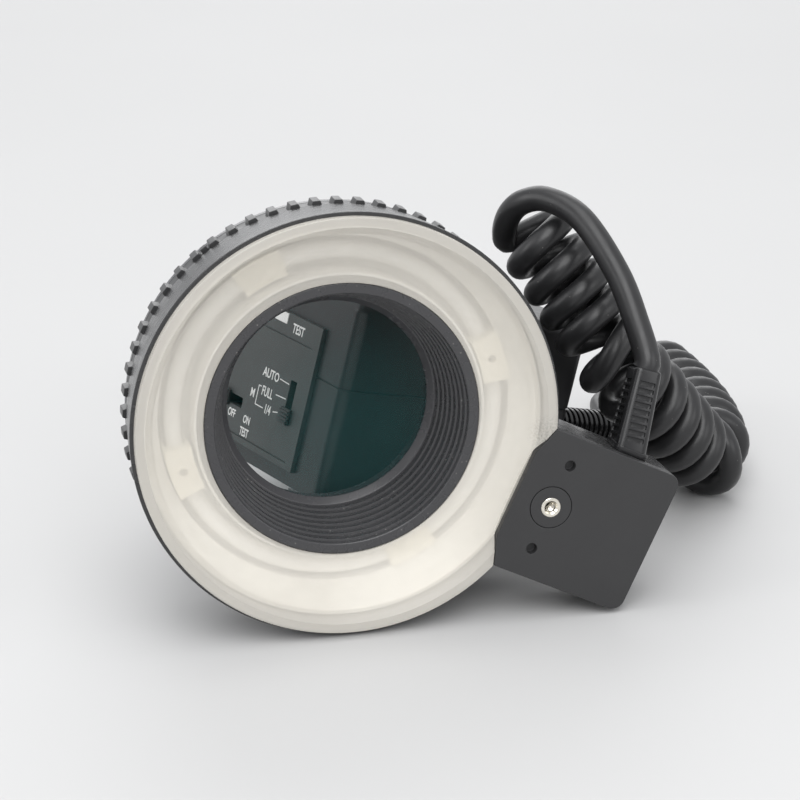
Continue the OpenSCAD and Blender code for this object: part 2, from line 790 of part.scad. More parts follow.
// Outline of the collar, with a gap between two teeth at angle 0 for the button
module collar_outline() {
    root_half = asin(tooth_w / 2 / root_r);
    tip_half = asin(tooth_w * tooth_taper / 2 / tip_r);
    polygon([
        for (i = [0:tooth_count - 1]) let (a = 360 * (i + 0.5) / tooth_count) each [
            polar(root_r, a - root_half), polar(tip_r, a - tip_half),
            polar(tip_r, a + tip_half), polar(root_r, a + root_half)
        ]
    ]);
}

// A block on the collar at the release button, between two radii
module at_button(inner, outer, w, len) {
    rotate([0, 0, button_angle]) translate([inner, -w / 2, -button_depth - len / 2])
        cube([outer - inner, w, len]);
}

module mounting_collar() {
    color([0.18, 0.18, 0.18]) head_frame() difference() {
        union() {
            translate([0, 0, -collar_end]) linear_extrude(collar_len) difference() {
                rotate(button_angle) collar_outline();
                circle(r = collar_bore);
            }
            ring(root_r - 0.1, plate_r + skirt_gap, collar_end - 0.1, collar_back);
        }
        at_button(button_seat, button_stop, button_w + 2 * (button_flange + side_gap),
            button_len + 2 * (button_flange + side_gap));
        at_button(button_seat, tip_r + 1, button_w + 2 * side_gap, button_len + 2 * side_gap);
    }
}

module adapter_plate() {
    color([0.2, 0.2, 0.2]) head_frame() ring(root_r, adapter_hole_r, collar_back, adapter_back);
}

module adapter_ring() {
    thread_in = lens_thread_r - thread_wall;
    color([0.24, 0.24, 0.25]) head_frame() {
        ring(adapter_ring_r, adapter_hole_r, adapter_back, adapter_web_front + eps);
        ring(adapter_ring_r, thread_in, adapter_web_front, adapter_web_back);
        ring(lens_thread_r, thread_in, adapter_web_back - eps, thread_end);
    }
}

module release_button() {
    color([0.2, 0.2, 0.2]) head_frame() {
        at_button(button_base, button_base + button_flange_t, button_w + 2 * button_flange,
            button_len + 2 * button_flange);
        at_button(button_base + button_flange_t - eps, button_top, button_w, button_len);
    }
}

module button_spring() {
    color([0.7, 0.7, 0.68]) head_frame()
        at_button(button_seat, button_seat + button_leaf_t, button_w, button_len + button_flange);
}

// Junction box

module junction_box_cover() {
    color([0.26, 0.26, 0.26]) box_frame() difference() {
        translate([0, 0, -cover_plate_t]) linear_extrude(cover_plate_t) box_outline();
        translate([insert_reach, 0, 0]) disc(boss_r, -1, cover_plate_t + 1);
        for (side = [-1, 1]) translate([insert_reach, side * pin_hole_pitch / 2, 0])
            disc(pin_hole_r, -1, pin_hole_depth);
    }
}

module insert_boss() {
    color([0.3, 0.3, 0.3]) box_frame() translate([insert_reach, 0, 0])
        ring(boss_r, insert_r, 0, insert_len);
}

module threaded_insert() {
    color([0.78, 0.62, 0.32]) box_frame() translate([insert_reach, 0, 0])
        ring(insert_r, insert_hole_r, -insert_proud, insert_len);
}

module head_circuit_board() {
    bottom = -box_depth + housing_wall;
    color([0.2, 0.42, 0.25]) box_frame() {
        block([board_w, box_w - 2 * housing_wall - 1, board_t], [board_x, 0, bottom + board_lift]);
        for (sx = [-1, 1], sy = [-1, 1])
            translate([board_x + sx * (board_w / 2 - 3), sy * (box_w / 2 - 6), bottom])
            cylinder(r = 1.5, h = board_lift + eps);
    }
}

module trigger_coil() {
    bottom = -box_depth + housing_wall + board_lift + board_t;
    color([0.62, 0.36, 0.2]) box_frame() translate([board_x + 3, 0, bottom]) {
        cylinder(r = 3.2, h = 5);
        cylinder(r = 4.4, h = 0.8);
    }
}

module boot_body() {
    hull() {
        block([boot_w, boot_w, 3], [0, 0, -3]);
        block([boot_tip_w, boot_tip_w, 2], [0, 0, boot_len - 2]);
    }
}

module head_strain_relief() {
    first = 2.6;
    pitch = (boot_len - first - 2.4) / boot_slots;
    slot_depth = 0.8;
    color([0.12, 0.12, 0.12]) box_frame() translate([boot_reach, box_w / 2, -box_depth / 2]) {
        rotate([-90, 0, 0]) block([boot_w + 0.8, boot_w + 0.8, 1.6], [0, 0, 0]);
        difference() {
            rotate([0, 0, boot_lean]) rotate([-90 - boot_tilt, 0, 0]) difference() {
                boot_body();
                for (i = [0:boot_slots - 1], turn = [0:90:270]) let (
                    z = first + pitch * i,
                    half = boot_w / 2 + (boot_tip_w - boot_w) / 2 * z / boot_len
                ) rotate([0, 0, turn]) block([half, 2 * slot_depth, pitch * 0.6], [0, half, z]);
            }
            translate([-20, -20, -20]) cube([40, 20, 40]);
        }
    }
}

// Cord

module cord_lead() {
    line = concat([lead_start], [lead_start + lead_stub * boot_dir], lead_route, [curl_points[0]]);
    color([0.24, 0.24, 0.24]) translate(-layout_mid)
        tube(even(spline(line, 8), lead_step / 2), boot_dir, curl_first, cord_r, lead_sides);
}

module cord_curls() {
    color([0.24, 0.24, 0.24]) translate(-layout_mid)
        tube(curl_points, curl_first, curl_last, cord_r, curl_sides);
}

module cord_tail() {
    start = curl_points[len(curl_points) - 1];
    line = concat([start], tail_route, [tail_end + lead_stub * tail_dir, tail_end]);
    color([0.24, 0.24, 0.24]) translate(-layout_mid)
        tube(even(spline(line, 8), lead_step / 2), curl_last, -tail_dir, cord_r, lead_sides);
}

module pack_strain_relief() {
    step = tail_boot_len / (tail_boot_ribs + 1);
    color([0.12, 0.12, 0.12]) pack_frame() translate([tail_x, pack_d, tail_z]) rotate([-90, 0, 0]) {
        cylinder(r = tail_boot_r - 0.9, h = tail_boot_len);
        cylinder(r = tail_boot_r + 0.6, h = 1.6);
        for (i = [1:tail_boot_ribs])
            translate([0, 0, step * (i + 0.3)]) cylinder(r = tail_boot_r, h = step * 0.55);
    }
}

// Power pack

module pack_prism(from, to, inset = 0) {
    translate([0, pack_d / 2, from]) linear_extrude(to - from)
        round_rect(pack_w - 2 * inset, pack_d - 2 * inset, max(pack_round - inset, 0.8));
}

module panel_window(grow) {
    translate([-panel_in_w / 2 - grow, -1, panel_mid - panel_in_h / 2 - grow])
        cube([panel_in_w + 2 * grow, pack_wall + 2, panel_in_h + 2 * grow]);
}

module post_places() {
    for (sx = [-1, 1], y = [post_front, post_back]) translate([sx * post_x, y, 0]) children();
}

module lower_shell() {
    color([0.22, 0.22, 0.22]) pack_frame() {
        difference() {
            pack_prism(0, seam_h);
            pack_prism(pack_wall, seam_h + 1, pack_wall);
            panel_window(loose_fit);
            // Door opening
            translate([-pack_w / 2 - 1, door_front - door_gap, door_z - door_gap])
                cube([pack_wall + 2, opening_end - door_front + door_gap, door_h + 2 * door_gap]);
            // Seam groove
            difference() {
                pack_prism(seam_h - 0.5, seam_h + 1, -1);
                pack_prism(seam_h - 1, seam_h + 2, 0.4);
            }
            screw_recesses();
        }
        post_places() translate([0, 0, pack_wall - eps])
            cylinder(r = post_r, h = bay_top - pack_wall + eps);
        // Hinge lugs
        for (z = [door_z, door_z + door_h - lug_h]) difference() {
            union() {
                translate([hinge_x, hinge_y, z]) cylinder(r = pack_wall / 2, h = lug_h);
                translate([hinge_x - pack_wall / 2, hinge_y, z])
                    cube([pack_wall, pack_wall / 2 + 1, lug_h]);
            }
            translate([hinge_x, hinge_y, z - 1]) cylinder(r = hinge_pin_r, h = lug_h + 2);
        }
    }
}

module upper_shell() {
    color([0.22, 0.22, 0.22]) pack_frame() difference() {
        union() {
            pack_prism(seam_h, pack_h - pack_top_round + eps);
            hull() for (a = [0, 30, 60, 90])
                pack_prism(pack_h - pack_top_round, pack_h - pack_top_round * (1 - sin(a)) + eps,
                    pack_top_round * (1 - cos(a)), $fn = 24);
        }
        pack_prism(seam_h - 1, pack_h - pack_wall, pack_wall);
        panel_window(loose_fit);
    }
}

module control_panel() {
    front = -panel_proud - 1;
    color([0.25, 0.26, 0.26]) difference() {
        pack_frame() union() {
            translate([-panel_w / 2, -panel_proud, panel_z]) cube([panel_w, panel_proud, panel_h]);
            translate([-panel_in_w / 2, -eps, panel_mid - panel_in_h / 2])
                cube([panel_in_w, pack_wall + eps, panel_in_h]);
        }
        mode_frame() slider_slot(mode_travel, front, pack_wall + 1);
        power_frame() slider_slot(power_travel, front, pack_wall + 1);
        // Seat of the lamp window
        pack_frame() translate([lamp_x - lamp_w / 2, front, lamp_z]) cube([lamp_w, 2.2, lamp_h]);
        // Fine grooves under the lamp strip and over the lower edge
        pack_frame() for (z = [lamp_z - 3.2, panel_z + 1.6])
            translate([-panel_w / 2 + 3, front, z]) cube([panel_w - 6, 1.3, 0.5]);
    }
}

module lamp_window() {
    color([0.92, 0.92, 0.9]) pack_frame()
        translate([lamp_x - lamp_w / 2 + 0.05, -panel_proud - 0.2, lamp_z + 0.05])
        cube([lamp_w - 0.1, 1.4, lamp_h - 0.1]);
}

// A slider's knob with ribs across its travel along Z, and its stem through the slot
module slider_knob() {
    face = -panel_proud - slider_gap;
    base = knob_proud * 0.6;
    translate([-knob_w / 2, face - base, -knob_h / 2]) cube([knob_w, base, knob_h]);
    for (i = [0:knob_ribs - 1])
        translate([-knob_w / 2, face - knob_proud, knob_h * (i / knob_ribs - 0.5)])
            cube([knob_w, knob_proud - base + eps, knob_h / knob_ribs / 2]);
    translate([-stem_w / 2, face - eps, -stem_w / 2])
        cube([stem_w, stem_end - face, stem_w]);
}

// The travel of a slider runs along local Z: the mode slider's upwards, the power slider's to the right
module mode_frame() {
    pack_frame() translate([mode_x, 0, mode_low]) children();
}

module power_frame() {
    pack_frame() translate([power_x, 0, power_z]) rotate([0, 90, 0]) children();
}

module mode_slider() {
    color([0.1, 0.1, 0.1]) mode_frame() slider_knob();
}

module power_slider() {
    color([0.1, 0.1, 0.1]) power_frame() slider_knob();
}

module slider_slot(travel, from, to) {
    translate([-slot_w / 2, from, -slot_w / 2]) cube([slot_w, to - from, travel + slot_w]);
}

module switch_body(travel) {
    difference() {
        translate([-switch_w / 2, pack_wall, -slot_w / 2 - switch_end])
            cube([switch_w, switch_t, travel + slot_w + 2 * switch_end]);
        slider_slot(travel, pack_wall - 1, stem_end + slider_gap);
    }
}

module mode_switch_body() {
    color([0.6, 0.6, 0.62]) mode_frame() switch_body(mode_travel);
}

module power_switch_body() {
    color([0.6, 0.6, 0.62]) power_frame() switch_body(power_travel);
}

module battery_door() {
    middle = door_z + lug_h + 0.2;
    middle_h = door_h - 2 * lug_h - 0.4;
    color([0.2, 0.2, 0.2]) pack_frame() difference() {
        union() {
            translate([-pack_w / 2, door_front, door_z]) cube([pack_wall, door_back - door_front, door_h]);
            translate([-pack_w / 2, door_back - eps, middle])
                cube([pack_wall, hinge_y - door_back, middle_h]);
            translate([hinge_x, hinge_y, middle]) cylinder(r = pack_wall / 2, h = middle_h);
            // Finger grip
            for (i = [0:3]) translate([-pack_w / 2 - 0.5, door_front + 3 + 2 * i, door_z + 2])
                cube([0.6, 0.9, door_h - 4]);
        }
        translate([hinge_x, hinge_y, middle - 1]) cylinder(r = hinge_pin_r + hinge_fit, h = middle_h + 2);
    }
}

module door_hinge_pin() {
    color([0.75, 0.75, 0.73]) pack_frame() translate([hinge_x, hinge_y, door_z])
        cylinder(r = hinge_pin_r, h = door_h);
}

module cell_places() {
    for (i = [0:cell_count - 1])
        translate([0, bay_y + (i - (cell_count - 1) / 2) * cell_step, cell_z]) children();
}

module door_contacts() {
    inside = -pack_w / 2 + pack_wall;
    cone_h = cell_x - inside - contact_t - 0.2;
    color([0.8, 0.68, 0.4]) pack_frame() for (pair = [-1, 1]) {
        y = bay_y + pair * cell_step;
        block([contact_t, strip_w, strip_h], [inside + contact_t / 2, y, cell_z - strip_h / 2]);
        for (side = [-1, 1]) translate([inside + contact_t - eps, y + side * cell_step / 2, cell_z])
            rotate([0, 90, 0]) cylinder(r1 = cone_r, r2 = cone_tip_r, h = cone_h);
    }
}

module battery_cells() {
    color([0.3, 0.42, 0.62]) pack_frame() cell_places() rotate([0, 90, 0]) {
        translate([0, 0, cell_x]) cylinder(r = cell_r, h = cell_len - 1);
        translate([0, 0, cell_x + cell_len - 1 - eps]) cylinder(r = 2.6, h = 1);
    }
}

module cell_contacts() {
    color([0.8, 0.68, 0.4]) pack_frame() cell_places() {
        translate([cell_end + 0.2, -5, -6]) cube([contact_t, 10, 12]);
        translate([cell_end + 0.2, -1.5, -cell_z + pack_wall]) cube([contact_t, 3, cell_z - pack_wall]);
    }
}

module chassis_plate() {
    color([0.5, 0.5, 0.48]) pack_frame() {
        translate([0, pack_d / 2, bay_top]) linear_extrude(chassis_t)
            square([pack_w - 2 * pack_wall - 0.6, pack_d - 2 * (pack_wall + switch_t + 2)], center = true);
        for (sx = [-1, 1], y = [post_front, post_back]) translate([sx * post_x, y, bay_top])
            cylinder(r = post_r, h = chassis_t);
        for (sx = [-1, 1], y = [post_front, post_back])
            block([2 * post_r, 2 * post_r + 8, chassis_t],
                [sx * post_x, y + (y < bay_y ? 4 : -4), bay_top]);
        for (sx = [-1, 1], sy = [-1, 1])
            translate([sx * stand_off, bay_y + sy * stand_off, chassis_top - eps])
                cylinder(r = stand_r, h = stand_h + eps);
    }
}

module main_circuit_board() {
    color([0.2, 0.42, 0.25]) pack_frame()
        block([main_board_w, main_board_d, board_t], [0, bay_y, chassis_top + stand_h]);
}

module main_capacitor() {
    color([0.12, 0.14, 0.3]) pack_frame() translate([cap_x, bay_y - cap_len / 2, board_top + cap_r + 0.05])
        rotate([-90, 0, 0]) {
            cylinder(r = cap_r, h = cap_len);
            translate([0, 0, -1]) cylinder(r = cap_r - 1.2, h = cap_len + 2);
        }
}

module transformer() {
    color([0.55, 0.45, 0.25]) pack_frame() {
        block(core_size, [transformer_x, bay_y + transformer_y, board_top]);
        block(winding_size,
            [transformer_x, bay_y + transformer_y, board_top + (core_size.z - winding_size.z) / 2]);
    }
}

// Accessory shoe under the pack

module shoe_frame() {
    pack_frame() translate([0, foot_y, 0]) children();
}

module contact_places() {
    for (p = [[0, 0], [-4.6, -3.5], [4.6, -3.5], [0, -6]]) translate([p.x, p.y, -foot_h]) children();
}

module shoe_foot() {
    color([0.16, 0.16, 0.16]) shoe_frame() difference() {
        union() {
            translate([0, 0, -boss_h]) cylinder(r = lock_r + shoe_flange, h = boss_h);
            translate([0, 0, -foot_h + foot_t - eps])
                cylinder(r = stem_r, h = foot_h - boss_h - foot_t + 2 * eps);
            block([foot_w, foot_len, foot_t], [0, 0, -foot_h]);
            block([2 * stem_r - 1, foot_len - 2 * foot_pad_end, foot_pad_t], [0, 0, -foot_h + foot_t - eps]);
        }
        contact_places() translate([0, 0, -1])
            cylinder(r = contact_r + hinge_fit, h = foot_t + contact_back + 1);
    }
}

module shoe_lock_ring() {
    color([0.2, 0.2, 0.2]) shoe_frame() difference() {
        translate([0, 0, lock_bottom]) cylinder(r = lock_r, h = lock_h);
        translate([0, 0, lock_bottom - 1]) cylinder(r = stem_r + lock_fit, h = lock_h + 2);
        for (i = [0:grip_count - 1]) rotate([0, 0, 360 * i / grip_count])
            translate([lock_r, 0, lock_bottom - 1]) rotate([0, 0, 45])
            block([grip_cut, grip_cut, lock_h + 2], [0, 0, 0]);
    }
}

module lock_washer() {
    color([0.65, 0.65, 0.63]) shoe_frame() translate([0, 0, lock_bottom - washer_t - 0.1]) difference() {
        cylinder(r = lock_r - 2, h = washer_t);
        translate([0, 0, -1]) cylinder(r = stem_r + lock_fit, h = washer_t + 2);
    }
}

module shoe_contacts() {
    color([0.82, 0.72, 0.45]) shoe_frame() contact_places() translate([0, 0, -contact_proud])
        cylinder(r = contact_r, h = contact_proud + foot_t + contact_back - 0.6);
}

module pack_screw_places() {
    for (sx = [-1, 1], sy = [-1, 1]) translate([sx * pack_screw_x, bay_y + sy * pack_screw_y, 0]) children();
}

module screw_recesses() {
    pack_screw_places() translate([0, 0, -1])
        cylinder(r = pack_screw_r + loose_fit, h = 1 + pack_screw_t + pack_screw_sink);
}

module pack_screws() {
    color([0.3, 0.3, 0.3]) pack_frame() pack_screw_places() translate([0, 0, pack_screw_sink]) difference() {
        cylinder(r = pack_screw_r, h = pack_screw_t);
        block([driver_slot.x, driver_slot.y, pack_screw_t], [0, 0, -pack_screw_t / 2]);
    }
}

front_cover();
head_housing();
reflector();
flash_tubes();
tube_end_holders();
lamp_shrouds();
focusing_lamps();
inner_baffle();
glass_retaining_ring();
protective_glass();
collar_retaining_plate();
retaining_screws();
mounting_collar();
adapter_plate();
adapter_ring();
release_button();
button_spring();
junction_box_cover();
insert_boss();
threaded_insert();
head_circuit_board();
trigger_coil();
head_strain_relief();
cord_lead();
cord_curls();
cord_tail();
pack_strain_relief();
lower_shell();
upper_shell();
control_panel();
lamp_window();
mode_slider();
power_slider();
mode_switch_body();
power_switch_body();
battery_door();
door_hinge_pin();
door_contacts();
battery_cells();
cell_contacts();
chassis_plate();
main_circuit_board();
main_capacitor();
transformer();
shoe_foot();
shoe_lock_ring();
lock_washer();
shoe_contacts();
pack_screws();
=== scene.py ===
"""Macro ring flash: a ring head with a junction box, a curly cord and a power pack, dressed for looks."""

import json
import logging
import math
from contextlib import contextmanager
from dataclasses import dataclass
from enum import Enum
from typing import Callable, Iterator, Sequence

import bmesh
import bpy
from mathutils import Matrix, Vector


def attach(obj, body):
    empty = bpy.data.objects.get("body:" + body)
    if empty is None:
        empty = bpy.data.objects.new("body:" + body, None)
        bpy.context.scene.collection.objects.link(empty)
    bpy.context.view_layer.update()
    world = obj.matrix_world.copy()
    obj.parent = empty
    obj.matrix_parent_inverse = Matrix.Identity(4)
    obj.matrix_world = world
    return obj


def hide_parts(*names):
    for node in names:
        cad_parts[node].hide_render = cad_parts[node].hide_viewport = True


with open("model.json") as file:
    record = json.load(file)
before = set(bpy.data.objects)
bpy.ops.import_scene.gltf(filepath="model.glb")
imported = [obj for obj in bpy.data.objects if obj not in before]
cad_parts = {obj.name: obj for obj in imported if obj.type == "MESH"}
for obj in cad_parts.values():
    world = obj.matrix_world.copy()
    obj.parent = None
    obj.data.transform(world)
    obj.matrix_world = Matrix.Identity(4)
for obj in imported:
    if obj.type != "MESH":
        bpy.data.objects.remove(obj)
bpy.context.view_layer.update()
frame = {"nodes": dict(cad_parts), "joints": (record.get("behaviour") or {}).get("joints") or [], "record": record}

MM = 0.001
LOG = logging.getLogger("ring_flash")

# Distance under which points of a mesh count as one, and angle under which faces count as flat
TOUCH = 1e-4
FLAT_ANGLE = math.radians(0.4)

# Colours of dust, of lint on the cord and of the cover's rubbed spot
DUST = (0.62, 0.6, 0.56)
LINT = (0.5, 0.49, 0.46)
RUBBED = (0.3, 0.3, 0.29)

Colour = tuple[float, float, float]
Place = tuple[float, float, float]
Point = tuple[float, float]
Profile = Sequence[Point]
Piece = bpy.types.Object
Socket = bpy.types.NodeSocket
Finishes = dict[str, bpy.types.Material]


class Body(Enum):
    """Rigid bodies of the frame that new pieces ride on."""

    MAIN = "body"
    COLLAR = "collar"


class Relief(Enum):
    """Surface grain of a moulded piece, as size and depth in metres."""

    SMOOTH = (8e-4, 1.5e-6)
    SATIN = (2.5e-4, 1e-5)
    MATT = (3e-4, 5e-6)


# Modelling steps


def pick(obj: Piece) -> None:
    """Make one object the only selected and the active one.

    Args:
        obj: The object to pick.
    """
    bpy.ops.object.select_all(action="DESELECT")
    obj.select_set(True)
    bpy.context.view_layer.objects.active = obj


@contextmanager
def editing(obj: Piece) -> Iterator[None]:
    """Open one object in edit mode with all of it selected, and close it again.

    Args:
        obj: The mesh object to edit.

    Returns:
        A context in which the edit-mode operators act on the object.
    """
    pick(obj)
    bpy.ops.object.mode_set(mode="EDIT")
    bpy.ops.mesh.select_all(action="SELECT")
    yield
    bpy.ops.object.mode_set(mode="OBJECT")


def select_where(obj: Piece, keep: Callable[[Vector], bool]) -> None:
    """Select only the vertices of an open mesh that a test keeps.

    Args:
        obj: The mesh object in edit mode.
        keep: A test of a vertex's place, in the mesh's own units.
    """
    bpy.ops.mesh.select_all(action="DESELECT")
    bpy.ops.mesh.select_mode(type="VERT")
    mesh = bmesh.from_edit_mesh(obj.data)
    for vert in mesh.verts:
        vert.select = bool(keep(vert.co))
    mesh.select_flush_mode()
    bmesh.update_edit_mesh(obj.data)


def started(name: str) -> Piece:
    """Name the primitive that was just added, and return it.

    Args:
        name: Name of the object and its mesh.

    Returns:
        The named object.
    """
    obj = bpy.context.object
    obj.name = name
    obj.data.name = name
    return obj


def turned(name: str, profile: Profile, steps: int = 192) -> Piece:
    """Spin a profile round the Z axis into a closed solid.

    Args:
        name: Name of the piece.
        profile: Radius and height of each point, in order round the section.
        steps: Number of steps in the full turn.

    Returns:
        The new mesh object, in the profile's units.
    """
    bpy.ops.object.select_all(action="DESELECT")
    bpy.ops.mesh.primitive_plane_add(size=1.0)
    obj = started(name)
    on_axis = profile[0][0] == 0.0 and profile[-1][0] == 0.0
    with editing(obj):
        bpy.ops.mesh.merge(type="CENTER")
        bpy.ops.transform.translate(value=(profile[0][0], 0.0, profile[0][1]))
        for (r0, z0), (r1, z1) in zip(profile, profile[1:]):
            bpy.ops.mesh.extrude_vertices_move(TRANSFORM_OT_translate={"value": (r1 - r0, 0.0, z1 - z0)})
        if not on_axis:
            ends = [Vector((r, 0.0, z)) for r, z in (profile[0], profile[-1])]
            select_where(obj, lambda co: min((co - end).length for end in ends) < TOUCH)
            bpy.ops.mesh.edge_face_add()
        bpy.ops.mesh.select_all(action="SELECT")
        bpy.ops.mesh.spin(steps=steps, angle=math.tau, center=(0.0, 0.0, 0.0), axis=(0.0, 0.0, 1.0))
        bpy.ops.mesh.select_all(action="SELECT")
        bpy.ops.mesh.remove_doubles(threshold=0.001)
        bpy.ops.mesh.normals_make_consistent(inside=False)
    return obj


def prism(name: str, outline: Profile, low: float, high: float) -> Piece:
    """Extrude an outline along Z.

    Args:
        name: Name of the piece.
        outline: Corners of the outline, in order.
        low: Height of the lower face.
        high: Height of the upper face.

    Returns:
        The new mesh object, in the outline's units.
    """
    bpy.ops.object.select_all(action="DESELECT")
    bpy.ops.mesh.primitive_circle_add(vertices=len(outline), radius=1.0, fill_type="NGON")
    obj = started(name)
    for vert, (x, y) in zip(obj.data.vertices, outline):
        vert.co = (x, y, low)
    with editing(obj):
        bpy.ops.mesh.extrude_region_move(TRANSFORM_OT_translate={"value": (0.0, 0.0, high - low)})
        bpy.ops.mesh.select_all(action="SELECT")
        bpy.ops.mesh.normals_make_consistent(inside=False)
    return obj


def apply_modifier(obj: Piece, kind: str, **settings: object) -> None:
    """Add one modifier to an object and apply it.

    Args:
        obj: The object to finish.
        kind: Blender's name of the modifier's type.
        settings: Values of the modifier's settings.
    """
    modifier = obj.modifiers.new(kind.title(), kind)
    for key, value in settings.items():
        setattr(modifier, key, value)
    pick(obj)
    bpy.ops.object.modifier_apply(modifier=modifier.name)


def rounded(obj: Piece, width: float, angle: float = 32.0, segments: int = 2) -> None:
    """Round the sharp edges of an object.

    Args:
        obj: The object to finish.
        width: Width of the rounding, in the mesh's units.
        angle: Least angle of an edge that is rounded, in degrees.
        segments: Number of faces across the rounding.
    """
    apply_modifier(
        obj, "BEVEL", width=width, segments=segments, limit_method="ANGLE",
        angle_limit=math.radians(angle), use_clamp_overlap=False, miter_outer="MITER_ARC",
    )


def cut(obj: Piece, tool: Piece) -> None:
    """Take one solid away from another, and delete it."""
    apply_modifier(obj, "BOOLEAN", object=tool, operation="DIFFERENCE", solver="EXACT")
    bpy.data.objects.remove(tool)


def joined(pieces: Sequence[Piece], name: str) -> Piece:
    """Join several meshes into one object.

    Args:
        pieces: The objects to join.
        name: Name of the result.

    Returns:
        The joined object.
    """
    pick(pieces[0])
    for piece in pieces:
        piece.select_set(True)
    bpy.ops.object.join()
    return started(name)


def finished(obj: Piece, width: float = 0.0, angle: float = 32.0, crease: float = 38.0) -> Piece:
    """Round a piece's edges and shade it smooth, with its flat faces kept flat.

    Args:
        obj: The modelled piece.
        width: Width of the rounding in the mesh's units, or 0 for none.
        angle: Least angle of an edge that is rounded, in degrees.
        crease: Angle in degrees from which an edge stays sharp.

    Returns:
        The piece.
    """
    if width:
        rounded(obj, width, angle)
    pick(obj)
    bpy.ops.object.shade_smooth_by_angle(angle=math.radians(crease))
    apply_modifier(obj, "WEIGHTED_NORMAL", mode="FACE_AREA", weight=50, keep_sharp=True)
    return obj


def copied(node: str, width: float) -> Piece:
    """Copy a solid of the frame, close its mesh and round its edges.

    Args:
        node: Name of the solid.
        width: Width of the rounding in metres, or 0 where the solid's own edges stay.

    Returns:
        The copy, shaded smooth.
    """
    obj = bpy.data.objects.new(node + "_dressed", frame["nodes"][node].data.copy())
    bpy.context.scene.collection.objects.link(obj)
    obj.data.materials.clear()
    with editing(obj):
        bpy.ops.mesh.customdata_custom_splitnormals_clear()
        bpy.ops.mesh.remove_doubles(threshold=1e-6)
        if width:
            bpy.ops.mesh.dissolve_limited(angle_limit=FLAT_ANGLE)
    return finished(obj, width)


# Finishes


